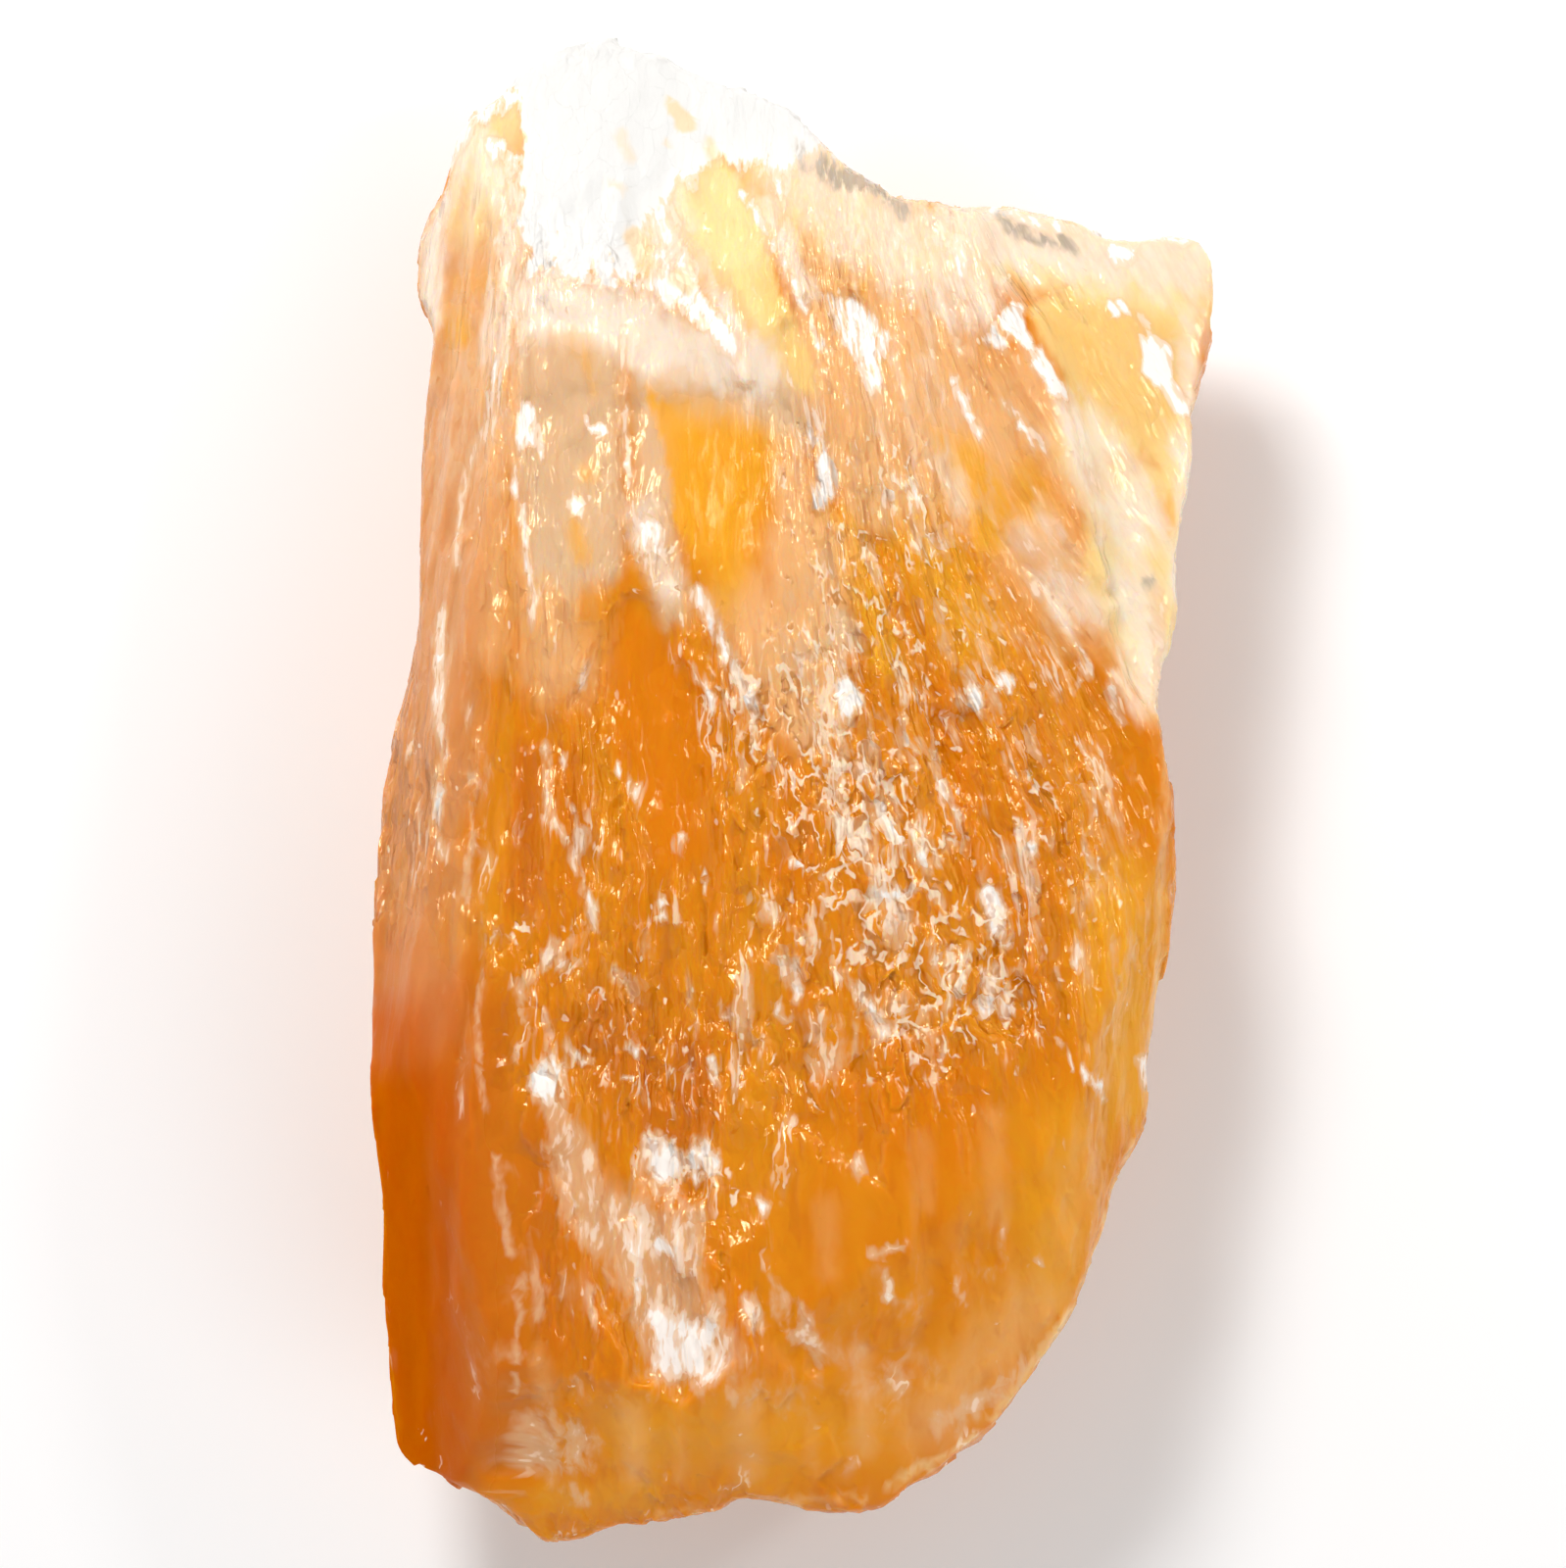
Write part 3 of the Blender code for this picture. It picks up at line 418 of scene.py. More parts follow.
# A thin pale line along the right and lower edge: painted glow of light coming through the thin rim
RIM_GLOW_STROKES = [
    ((19.2, 2.0), (18.9, -9.0), (18.3, -17.0), 0.3, 0.55),
    ((17.6, -18.6), (14.9, -26.6), 0.3, 0.7),
    ((14.3, -27.6), (10.2, -33.0), 0.3, 0.8),
    ((9.2, -33.9), (4.9, -36.4), 0.3, 0.8),
    ((3.6, -36.8), (-7.0, -37.8), 0.25, 0.5),
]
# Where the surface is sugary
SUGAR_STROKES = [
    ((0.0, 4.0), (7.0, -11.0), 4.4, 1.0),
    ((2.2, 12.8), (5.0, 6.0), 2.2, 0.8),
    ((8.0, 8.0), (14.0, -4.0), 3.6, 0.5),
    ((-13.5, -8.0), (-8.0, -12.0), 2.0, 0.5),
    ((-13.0, -13.6), (1.0, -15.0), 2.0, 0.6),
    ((4.6, 16.6), (7.0, 12.0), 1.6, 0.9),
    ((-8.0, 12.4), (-5.2, 8.6), 1.2, 0.5),
    ((10.0, -7.0), (11.4, -12.0), 1.6, 0.9),
    ((-7.0, -18.6), (-4.4, -20.0), 1.4, 0.8),
]
# Where it is calm
SMOOTH_STROKES = [
    ((5.0, 22.0), (11.0, 9.0), 3.6, 0.6),
    ((-11.0, 33.0), (2.0, 33.5), 5.0, 1.2),
    ((-3.6, 27.6), (-0.4, 20.6), 1.2, 0.9),
    ((-12.0, 23.0), (-4.0, 22.0), 2.0, 0.8),
    ((-20.0, -12.0), (-19.0, -33.0), 4.0, 1.2),
    ((-8.0, -33.0), (8.0, -33.5), 2.6, 0.8),
    ((-15.0, -34.0), (-10.0, -36.0), 2.0, 0.8),
    ((4.0, -23.0), (13.0, -20.0), 4.0, 0.7),
    ((9.0, -29.0), (2.0, -32.0), 3.6, 0.7),
    ((14.0, -18.0), (12.0, -28.0), 3.0, 0.65),
    ((-17.0, 32.0), (-18.0, 5.0), 2.4, 0.8),
    ((19.0, 26.0), (19.0, 8.0), 3.4, 1.0),
    ((11.0, 29.0), (21.0, 27.0), 2.4, 1.0),
    ((2.0, 30.0), (8.0, 27.0), 2.6, 0.8),
    ((-6.0, 19.0), (-2.0, 10.0), 3.0, 0.95),
    ((9.0, 17.0), (12.0, 12.0), 2.4, 0.85),
    ((18.0, 2.0), (17.0, -15.0), 2.4, 0.75),
    ((-8.2, 9.0), (-5.6, -3.0), 2.0, 0.75),
    ((-11.5, 23.0), (-11.0, 13.0), 2.6, 0.75),
    ((-5.2, 31.0), (-0.5, 21.0), 2.2, 0.8),
    ((14.0, 22.0), (16.0, 14.0), 2.6, 0.8),
    ((-15.0, 6.0), (-14.0, -6.0), 2.6, 0.4),
    ((-11.4, -18.0), (-9.4, -23.0), 1.6, 0.6),
]
# Narrow valleys that are rounded
CREASE_STROKES = [
    ((9.9, 29.4), (10.6, 26.7), (12.0, 24.6), (13.3, 23.0), (13.8, 20.2), (14.6, 18.3), (15.2, 16.0),
     (16.2, 13.0), 1.3, 1.0),
    ((-13.4, 25.3), (-8.2, 25.0), (-3.4, 22.0), (-1.7, 21.6), (2.2, 18.6), 0.9, 0.8),
]
# Grey dirt along the upper edge, and painted grey shade in the wrinkles under the white end
DIRT_AND_SHADE_STROKES = [
    ((0.4, 32.8), (0.6, 31.6), 0.4, 0.55),
    ((1.6, 32.0), (2.4, 31.0), 0.6, 0.9),
    ((2.6, 31.5), (3.6, 31.1), 0.35, 1.1),
    ((3.0, 30.9), (4.6, 30.5), (5.6, 29.4), 0.5, 0.7),
    ((10.8, 29.4), (11.5, 28.2), 0.4, 0.7),
    ((11.8, 28.2), (13.0, 28.2), (14.4, 27.6), 0.4, 0.75),
    # Painted grey shade in the wrinkles under the white end
    ((-13.0, 28.0), (-12.7, 26.6), (-12.2, 25.6), 0.16, 0.55),
    ((-6.4, 28.0), (-5.7, 27.0), (-5.2, 26.0), 0.15, 0.35),
    ((-12.9, 24.6), (-12.4, 24.0), 0.2, 0.5),
    ((-10.2, 26.4), (-9.4, 24.8), 0.2, 0.35),
    ((-8.3, 29.8), (-8.2, 28.2), 0.15, 0.3),
    # More grey dirt
    ((18.4, 10.4), (18.4, 10.2), 0.4, 0.6),
    ((-6.0, 35.0), (-5.6, 34.0), 0.35, 0.2),
]
# Tan stains on and below the white end
TAN_STROKES = [
    ((-6.3, 35.0), (-5.6, 33.9), 0.35, 0.9),
    ((-9.0, 33.4), (-8.4, 32.2), 0.5, 0.4),
    ((-6.7, 33.3), (-6.4, 32.9), 0.25, 0.4),
    ((-8.2, 28.0), (-7.6, 26.6), 0.5, 0.9),
    ((-6.2, 25.8), (-5.4, 25.4), 0.4, 0.8),
    ((-9.6, 30.8), (-8.8, 30.4), 0.4, 0.4),
    ((-4.4, 33.0), (-4.0, 32.0), 0.4, 0.6),
]

# The lower edge of the white end, which is frosted and partly painted glare from the light above, and the
# side where it stops short of the left face
WHITE_END_EDGE = [(-14.0, 26.8), (-12.5, 26.3), (-10.5, 25.8), (-8.5, 25.8), (-7.5, 28.6), (-6.0, 31.4),
                  (-3.5, 32.0), (-0.5, 31.5), (0.8, 32.6), (6.0, 34.0)]
WHITE_END_LEFT = -14.0
WHITE_END_TOP = 36.0

# The marks on the front start to show at this height, and show in full this much higher
SIDE_TOP = 9.0
SIDE_FADE = 4.0

# Colours of the stone, in linear light
ORANGE = (0.715, 0.228, 0.002, 1.0)
DEEP_ORANGE = (0.60, 0.150, 0.004, 1.0)
AMBER = (0.73, 0.212, 0.0, 1.0)
# Deep red orange of the lower left edge, partly painted shade
DEEP_AND_SHADED = (0.56, 0.105, 0.0, 1.0)
YELLOW = (0.83, 0.385, 0.014, 1.0)
PEACH = (0.85, 0.49, 0.22, 1.0)
# Rose orange of the left face, partly painted sheen
ROSE_SHEEN = (0.66, 0.28, 0.105, 1.0)
BEIGE = (0.73, 0.51, 0.315, 1.0)
GOLD = (0.88, 0.60, 0.22, 1.0)
# Pale yellow, partly painted glow of light through thin parts
PALE_GLOW = (0.92, 0.71, 0.36, 1.0)
# Cream of the veil, partly painted sheen
CREAM_SHEEN = (0.92, 0.79, 0.66, 1.0)
HAZE = (0.78, 0.48, 0.27, 1.0)
MILK = (0.89, 0.68, 0.52, 1.0)
WHITE = (0.96, 0.89, 0.83, 1.0)
# Chalk white of the white end, its own frost and painted glare
CHALK = (0.735, 0.73, 0.715, 1.0)
# Painted highlights: the pale cream of the bright fold lines, the threads along the fibres and the sparkle
# dots
PAINTED_GLINT = (1.0, 0.80, 0.60, 1.0)
# Painted shade: the dark lines beside the painted highlight lines
SHADE_LINE = (0.42, 0.13, 0.01, 1.0)
# Grey of the dirt and of the painted wrinkle shade
DIRT_AND_SHADE_GREY = (0.38, 0.32, 0.26, 1.0)
TAN = (0.84, 0.60, 0.34, 1.0)

# The colour marks, in the order they are laid on: name, shapes, strokes, colour, how much of it
# shows at most, and the levels of the mark where it starts and where it is full
MARKS = [
    ("amber", AMBER_SHAPES, [], AMBER, 0.85, 0.10, 0.80),
    ("deep", [], DEEP_STROKES, DEEP_ORANGE, 0.85, 0.10, 0.80),
    ("yellow", [], YELLOW_STROKES, YELLOW, 0.80, 0.10, 0.80),
    ("peach", [], PEACH_STROKES, PEACH, 0.85, 0.10, 0.80),
    ("rose", [], ROSE_SHEEN_STROKES, ROSE_SHEEN, 0.80, 0.10, 0.80),
    ("ember", [], DEEP_AND_SHADED_STROKES, DEEP_AND_SHADED, 0.95, 0.10, 0.80),
    ("beige", BEIGE_SHAPES, [], BEIGE, 0.85, 0.10, 0.80),
    ("gold", GOLD_SHAPES, [], GOLD, 0.90, 0.25, 0.65),
    ("pale", [], PALE_AND_GLOW_STROKES, PALE_GLOW, 0.85, 0.10, 0.80),
    ("pane", PANE_SHAPES, PANE_STROKES, YELLOW, 0.85, 0.18, 0.80),
    ("rim", [], RIM_GLOW_STROKES, PALE_GLOW, 0.50, 0.20, 0.80),
]
PALE_MARKS = ("beige", "gold", "pale")

# The soft masks that the mesh keeps for the stone's material
MASKS = ("patches", "presence", "frost", "white_end_and_glare", "sugar", "texture", "pale", "gleam", "dirt_and_shade", "tan")


def smooth(t):
    """Eases from 0 to 1 as t goes from 0 to 1."""
    t = np.clip(t, 0.0, 1.0)
    return t * t * (3.0 - 2.0 * t)


def hashed(cell, seed):
    """Three repeatable random numbers from 0 to 1 for each lattice cell."""
    order = np.random.default_rng(seed).permutation(256)
    values = np.random.default_rng(seed + 1).random((256, 3))
    index = order[cell[:, 0] & 255]
    index = order[(index + cell[:, 1]) & 255]
    index = order[(index + cell[:, 2]) & 255]
    return values[index]


def noise(x, y, z, seed=SEED):
    """Gradient noise, about -1 to 1."""
    points = np.stack([x, y, z], axis=1)
    cell = np.floor(points).astype(int)
    inside = points - cell
    ease = inside**3 * (inside * (inside * 6.0 - 15.0) + 10.0)
    total = np.zeros(len(points))
    for corner in np.ndindex(2, 2, 2):
        slope = hashed(cell + corner, seed) * 2.0 - 1.0
        weight = np.prod(np.where(corner, ease, 1.0 - ease), axis=1)
        total += weight * (slope * (inside - corner)).sum(axis=1)
    return total * 1.5


def layered(points, scale, seed, layers=3, fade=0.6):
    """Layers of noise, each finer and fainter than the one before. About 0.2 to 0.8."""
    total = np.zeros(len(points))
    most = 0.0
    for layer in range(layers):
        x, y, z = (points * scale * 2.0**layer).T
        total += fade**layer * noise(x, y, z, seed + layer)
        most += fade**layer
    return 0.5 + 0.46 * total / most


def facets(x, y, z, seed):
    """Random flat facets: each cell is a plane with its own tilt. About -0.5 to 0.5."""
    points = np.stack([x, y, z], axis=1)
    cell = np.floor(points).astype(int)
    nearest = np.full(len(points), np.inf)
    height = np.zeros(len(points))
    for step in np.ndindex(3, 3, 3):
        neighbour = cell + np.array(step) - 1
        away = points - (neighbour + hashed(neighbour, seed))
        distance = (away * away).sum(axis=1)
        tilt = hashed(neighbour, seed + 7) - 0.5
        closer = distance < nearest
        nearest = np.where(closer, distance, nearest)
        height = np.where(closer, (tilt * away).sum(axis=1) + 0.5 * tilt[:, 0], height)
    return height


def across_fibres(x, y):
    """The same along any one fibre. The fibres fan out towards the upper right."""
    fan = 27.0 * smooth((x + 6.0) / 18.0) * (0.35 + 0.65 * smooth((y + 15.0) / 30.0))
    lean = np.radians(fan - 5.0 * smooth((-12.0 - x) / 5.0))
    return x + np.tan(lean) * y


def drifted(x, y):
    """The points moved a little, so that no mark has a straight edge."""
    level = np.zeros_like(x)
    drift_x = 0.15 * noise(x * 0.7, y * 0.45, level, SEED + 40)
    drift_x += 0.20 * noise(x * 2.1, y * 1.3, level, SEED + 41)
    drift_y = 0.25 * noise(x * 0.6, y * 0.4, level, SEED + 42)
    drift_y += 0.40 * noise(x * 1.9, y * 1.2, level, SEED + 43)
    return x + drift_x, y + drift_y


def distance_to_line(x, y, start, end):
    """How far each point is from the line between two points."""
    (x0, y0), (x1, y1) = start, end
    run = max(math.hypot(x1 - x0, y1 - y0), 0.001)
    along = np.clip(((x - x0) * (x1 - x0) + (y - y0) * (y1 - y0)) / run**2, 0.0, 1.0)
    return np.hypot(x - x0 - along * (x1 - x0), y - y0 - along * (y1 - y0))


def strokes(x, y, table):
    """A soft mask of strokes: full on a stroke's middle line, half at its reach, then none."""
    mask = np.zeros_like(x)
    for *line, reach, strength in table:
        for start, end in zip(line, line[1:]):
            away = distance_to_line(x, y, start, end)
            mask = np.maximum(mask, strength * (1.0 - smooth(away / (2.0 * reach))))
    return mask


def shapes(x, y, table):
    """A soft mask of closed shapes: full inside, half on a shape's outline, then a faint rim."""
    mask = np.zeros_like(x)
    for *corners, softness, strength in table:
        inside = np.zeros(len(x), bool)
        away = np.full(len(x), np.inf)
        for start, end in zip(corners, corners[1:] + corners[:1]):
            away = np.minimum(away, distance_to_line(x, y, start, end))
            (x0, y0), (x1, y1) = start, end
            if y0 != y1:
                crossing = x0 + (y - y0) * (x1 - x0) / (y1 - y0)
                inside ^= ((y0 > y) != (y1 > y)) & (x < crossing)
        depth = np.where(inside, away, -away) / softness
        level = 0.7 * smooth(0.5 + depth / 2.6) + 0.3 * smooth(0.5 + depth / 7.0)
        mask = np.maximum(mask, strength * level)
    return mask


def points_of(mesh, what="co"):
    """The mesh's points or normals as rows of x, y and z."""
    rows = np.empty(len(mesh.vertices) * 3, np.float32)
    mesh.vertices.foreach_get(what, rows)
    return rows.reshape(-1, 3).astype(float)


def with_modifier(mesh, kind, **settings):
    """A new mesh with one modifier applied."""
    helper = bpy.data.objects.new("helper", mesh)
    bpy.context.scene.collection.objects.link(helper)
    modifier = helper.modifiers.new(kind.lower(), kind)
    for name, value in settings.items():
        setattr(modifier, name, value)
    graph = bpy.context.evaluated_depsgraph_get()
    result = bpy.data.meshes.new_from_object(helper.evaluated_get(graph))
    bpy.data.objects.remove(helper)
    return result


def fine_relief(points, normals):
    """How far each point is moved along its normal: splinters, fibres and sugary facets."""
    x, y, z = points.T
    u, v, w = across_fibres(x, y), y, z
    front = smooth(normals[:, 2] / 0.5)
    mark_x, mark_y = drifted(x, y)
    sugar = strokes(mark_x, mark_y, SUGAR_STROKES) * front
    calm = 1.0 - 0.75 * strokes(mark_x, mark_y, SMOOTH_STROKES) * front
    bend = 0.5 * noise(x * 0.35, y * 0.35, z * 0.35, SEED + 2)
    splinters = facets((u + bend) * 0.75, v * 0.16, w * 0.75, SEED + 10)
    fibres = noise((u + bend) * 1.9, v * 0.16, w * 1.9, SEED + 3)
    threads = noise((u + bend) * 4.2, v * 0.3, w * 4.2, SEED + 4)
    grains = facets(x * 1.15, y * 0.8, z * 1.15, SEED + 20)
    patchy = smooth(0.5 + noise(x * 0.12, y * 0.08, z * 0.2, SEED + 5))
    laths = facets((u + bend) * 1.5, v * 0.22, w * 1.5, SEED + 11)
    relief = 0.30 * splinters + 0.06 * fibres * (0.4 + patchy)
    relief += (0.14 * laths + 0.03 * threads + grains * (0.06 + 0.36 * sugar)) * (0.3 + 0.7 * front)
    return (relief * calm - 0.10) * smooth(z / 1.5)


def soften_creases(mesh):
    """Rounds the narrow valleys along the crease strokes, which would look like dark cracks."""
    points = points_of(mesh) / MM
    x, y, z = points.T
    amount = 0.7 * strokes(x * FRONT_SPREAD, y * FRONT_SPREAD, CREASE_STROKES)
    amount *= smooth((z - SIDE_TOP) / SIDE_FADE)
    ends = np.empty(len(mesh.edges) * 2, np.int32)
    mesh.edges.foreach_get("vertices", ends)
    first, second = np.append(ends[0::2], ends[1::2]), np.append(ends[1::2], ends[0::2])
    neighbours = np.bincount(first, minlength=len(points))
    for _ in range(CREASE_PASSES):
        sums = [np.bincount(first, points[second, axis], len(points)) for axis in range(3)]
        middles = np.stack(sums, axis=1) / neighbours[:, None]
        points += (middles - points) * amount[:, None]
    mesh.vertices.foreach_set("co", (points * MM).astype(np.float32).ravel())
    mesh.update()


def put_mask(mesh, name, values):
    """Stores a number for each point of the mesh."""
    layer = mesh.attributes.new(name, "FLOAT", "POINT")
    layer.data.foreach_set("value", values.astype(np.float32))


def put_places(mesh, name, places):
    """Stores a place for each point of the mesh."""
    layer = mesh.attributes.new(name, "FLOAT_VECTOR", "POINT")
    layer.data.foreach_set("vector", places.astype(np.float32).ravel())


def waved(points, scale, reach, seed):
    """The points moved by about 0.2 to 0.8 of the reach, with the amount waving to and fro."""
    waves = [layered(points, scale, seed + 5 * axis, 3, 0.5) for axis in range(3)]
    return points + np.stack(waves, axis=1) * reach


def flattened(points):
    """The points pressed aslant onto one plane, so that a flat pattern suits the sides too."""
    x, y, z = points.T
    between_lattice_planes = np.full(len(x), 0.37)
    return np.stack([x + 0.4 * z, y + 0.4 * z, between_lattice_planes], axis=1)


def put_colour(mesh, colour):
    """Stores the base colour of each point of the mesh."""
    layer = mesh.attributes.new("base", "FLOAT_COLOR", "POINT")
    layer.data.foreach_set("color", colour.astype(np.float32).ravel())


def laid_over(colour, shade, amount):
    """The colour with some of a shade over it. Its last part is how much of the first is left."""
    amount = amount[:, None]
    return colour * (1.0 - amount) + np.array([*shade[:3], 0.0]) * amount


def base_colour(place, patches, texture, veil_and_sheen, marks):
    """The stone's colour under the frost: bands, then the marks, broken up along the fibres."""
    bands = layered(place, BAND_SCALE, SEED + 90)
    streaks = layered(place, STREAK_SCALE, SEED + 110)
    uneven = 0.8 * (streaks - 0.5) * (0.25 + 0.65 * texture)
    colour = np.tile(ORANGE, (len(place), 1))
    colour += 0.28 * smooth((bands - 0.42) / 0.26)[:, None] * (np.array(YELLOW) - ORANGE)
    for name, _, _, shade, most, start, full in MARKS:
        amount = most * smooth((marks[name] + uneven - start) / (full - start))
        colour = laid_over(colour, shade, amount)
    # The cream veil: partly pale haze, partly painted sheen
    veil_and_sheen = veil_and_sheen + 1.3 * patches + 0.5 * streaks
    return laid_over(colour, CREAM_SHEEN, 0.85 * smooth((veil_and_sheen - 1.10) / 0.65))


def white_end_and_glare_mask(x, y):
    """The white end, frosted and partly painted glare from the light above, with a ragged edge on the left
    and a patchy one below.
    """
    level = np.zeros_like(x)
    edge_y = np.interp(x, [p[0] for p in WHITE_END_EDGE], [p[1] for p in WHITE_END_EDGE])
    right_of_edge = np.where(y > WHITE_END_TOP, 9.0, x - WHITE_END_LEFT)
    ragged = 0.5 * noise(x * 0.4, y * 0.5, level, SEED + 31)
    ragged += 0.3 * noise(x * 1.3, y * 1.6, level, SEED + 32)
    patchy = 1.6 * noise(x * 0.7, y * 0.4, level, SEED + 33)
    patchy += 1.0 * noise(x * 1.8, y * 1.2, level, SEED + 34)
    return smooth(0.5 + (y + patchy - edge_y) / 5.0) * smooth(0.5 + (right_of_edge + ragged) / 1.2)


def put_masks(mesh):
    """Stores fibre coordinates, the base colour and the soft masks on the mesh."""
    points = points_of(mesh) / MM
    x, y, z = points.T
    front = smooth((points_of(mesh, "normal")[:, 2] + 0.5) / 0.5)
    shown = smooth((z - SIDE_TOP) / SIDE_FADE)
    seen_x, seen_y = x * FRONT_SPREAD, y * FRONT_SPREAD
    mark_x, mark_y = drifted(seen_x, seen_y)
    fibre = np.stack([across_fibres(x, y), y, z], axis=1)
    place = waved(fibre, 0.45, (1.1, 1.8, 1.1), SEED + 50)
    patches = layered(place, PATCH_SCALE, SEED + 100)

    white_end_and_glare = white_end_and_glare_mask(seen_x, seen_y)
    drift = 0.22 + 0.25 * noise(x * 0.1, y * 0.06, z * 0.1, SEED + 30)
    frost = np.maximum(shapes(mark_x, mark_y, FROST_SHAPES), strokes(mark_x, mark_y, FROST_STROKES))
    frost = np.maximum(frost, strokes(mark_x, mark_y, HAZE_STROKES)) * shown
    # The white end counts as full frost: its own frost with painted glare
    frost = np.maximum(frost * front + drift * (1.0 - front), 2.0 * white_end_and_glare)
    sugar = strokes(mark_x, mark_y, SUGAR_STROKES) * front
    texture = 0.45 + 0.4 * smooth((seen_y + 22.0) / 12.0) + 0.3 * sugar
    texture = np.clip(texture - strokes(mark_x, mark_y, SMOOTH_STROKES), 0.0, 1.0)
    texture = texture * front + 0.40 * (1.0 - front)
    marks = {}
    for name, outlines, lines, *_ in MARKS:
        mark = np.maximum(shapes(mark_x, mark_y, outlines), strokes(mark_x, mark_y, lines))
        marks[name] = mark * shown
    pale = np.maximum.reduce([marks[name] for name in PALE_MARKS])
    veil_and_sheen = strokes(mark_x, mark_y, VEIL_AND_SHEEN_STROKES) * shown

    put_places(mesh, "place", place)
    put_places(mesh, "bent", flattened(waved(place, 0.9, (1.0, 1.4, 1.0), SEED + 70)))
    put_colour(mesh, base_colour(place, patches, texture, veil_and_sheen, marks))
    masks = {
        "patches": patches,
        "presence": layered(place, PRESENCE_SCALE, SEED + 120, 2, 0.5) + 0.28 * sugar - 0.08,
        "frost": frost,
        "white_end_and_glare": white_end_and_glare,
        "sugar": sugar,
        "texture": texture,
        "pale": np.clip(np.maximum(pale, veil_and_sheen), 0.0, 1.0),
        "gleam": np.clip(0.7 - 0.7 * marks["ember"] - 0.3 * marks["pane"], 0.0, 1.0),
        "dirt_and_shade": strokes(mark_x, mark_y, DIRT_AND_SHADE_STROKES) * shown,
        "tan": strokes(mark_x, mark_y, TAN_STROKES) * shown,
    }
    for name in MASKS:
        put_mask(mesh, name, masks[name])


class Nodes:
    """Short calls to add shader nodes to one material."""

    def __init__(self, name):
        self.material = bpy.data.materials.new(name)
        self.material.use_nodes = True
        self.tree = self.material.node_tree
        self.shader = self.tree.nodes["Principled BSDF"]

    def feed(self, socket, value):
        """Links a socket's output to this socket, or sets its value."""
        if isinstance(value, bpy.types.NodeSocket):
            self.tree.links.new(value, socket)
        else:
            socket.default_value = value

    def add(self, kind, inputs, output=0, **settings):
        """Adds a node with its settings and inputs, and returns its output."""
        node = self.tree.nodes.new(kind)
        for name, value in settings.items():
            setattr(node, name, value)
        for name, value in inputs.items():
            self.feed(node.inputs[name], value)
        return node.outputs[output]

    def stored(self, name, output="Fac"):
        """What the mesh keeps under this name: a number, or its Vector, Color or Alpha."""
        return self.add("ShaderNodeAttribute", {}, output, attribute_name=name)

    def stretched(self, vector, scale):
        """A vector with each part scaled."""
        return self.add("ShaderNodeVectorMath", {0: vector, 1: scale}, operation="MULTIPLY")

    def noise(self, vector, fade):
        """Three layers of noise, each finer and fainter than the one before."""
        inputs = {"Vector": vector, "Scale": 1.0, "Detail": 2.0, "Roughness": fade}
        return self.add("ShaderNodeTexNoise", inputs, "Fac")

    def facets(self, vector):
        """Random facets on a plane: height, a random number for each, and how far its middle is."""
        cells = self.tree.nodes.new("ShaderNodeTexVoronoi")
        cells.voronoi_dimensions = "2D"
        self.feed(cells.inputs["Vector"], vector)
        cells.inputs["Scale"].default_value = 1.0
        away = {0: vector, 1: cells.outputs["Position"]}
        away = self.add("ShaderNodeVectorMath", away, operation="SUBTRACT")
        tilt = {0: cells.outputs["Color"], 1: (0.5, 0.5, 0.5)}
        tilt = self.add("ShaderNodeVectorMath", tilt, operation="SUBTRACT")
        height = self.add("ShaderNodeVectorMath", {0: away, 1: tilt}, "Value", operation="DOT_PRODUCT")
        chance = self.add("ShaderNodeSeparateColor", {"Color": cells.outputs["Color"]}, "Red")
        return height, chance, cells.outputs["Distance"]

    def math(self, operation, first, second=0.0, third=0.0):
        return self.add("ShaderNodeMath", {0: first, 1: second, 2: third}, operation=operation)

    def ease(self, value, start, end, low=0.0, high=1.0):
        """Maps start to end smoothly onto low to high."""
        inputs = {"Value": value, "From Min": start, "From Max": end, "To Min": low, "To Max": high}
        return self.add("ShaderNodeMapRange", inputs, interpolation_type="SMOOTHSTEP")

    def blend(self, factor, first, second):
        """Mixes two colours."""
        node = self.tree.nodes.new("ShaderNodeMix")
        node.data_type = "RGBA"
        for socket, value in ((node.inputs[0], factor), (node.inputs[6], first), (node.inputs[7], second)):
            self.feed(socket, value)
        return node.outputs[2]


def frost_level(nodes, masks, streaks, grain, chance):
    """How frosted the stone is: the frost mask, frayed by the fibres, grains and crystals."""
    step = nodes.math("MULTIPLY", nodes.math("SUBTRACT", chance, 0.4), 0.8)
    uneven = nodes.math("MULTIPLY_ADD", masks["patches"], 2.1, -2.03)
    uneven = nodes.math("MULTIPLY_ADD", streaks, 1.1, uneven)
    uneven = nodes.math("MULTIPLY_ADD", grain, 0.35, uneven)
    uneven = nodes.math("MULTIPLY_ADD", step, masks["sugar"], uneven)
    level = nodes.math("MULTIPLY", uneven, nodes.math("MULTIPLY_ADD", masks["texture"], 0.55, 0.35))
    level = nodes.math("MULTIPLY_ADD", masks["frost"], 1.1, level)
    fray = nodes.math("MULTIPLY_ADD", grain, 1.9, nodes.math("MULTIPLY", chance, 0.35))
    fray = nodes.math("SUBTRACT", fray, 1.12)
    return nodes.math("MULTIPLY_ADD", fray, nodes.math("MINIMUM", masks["frost"], 1.1), level)


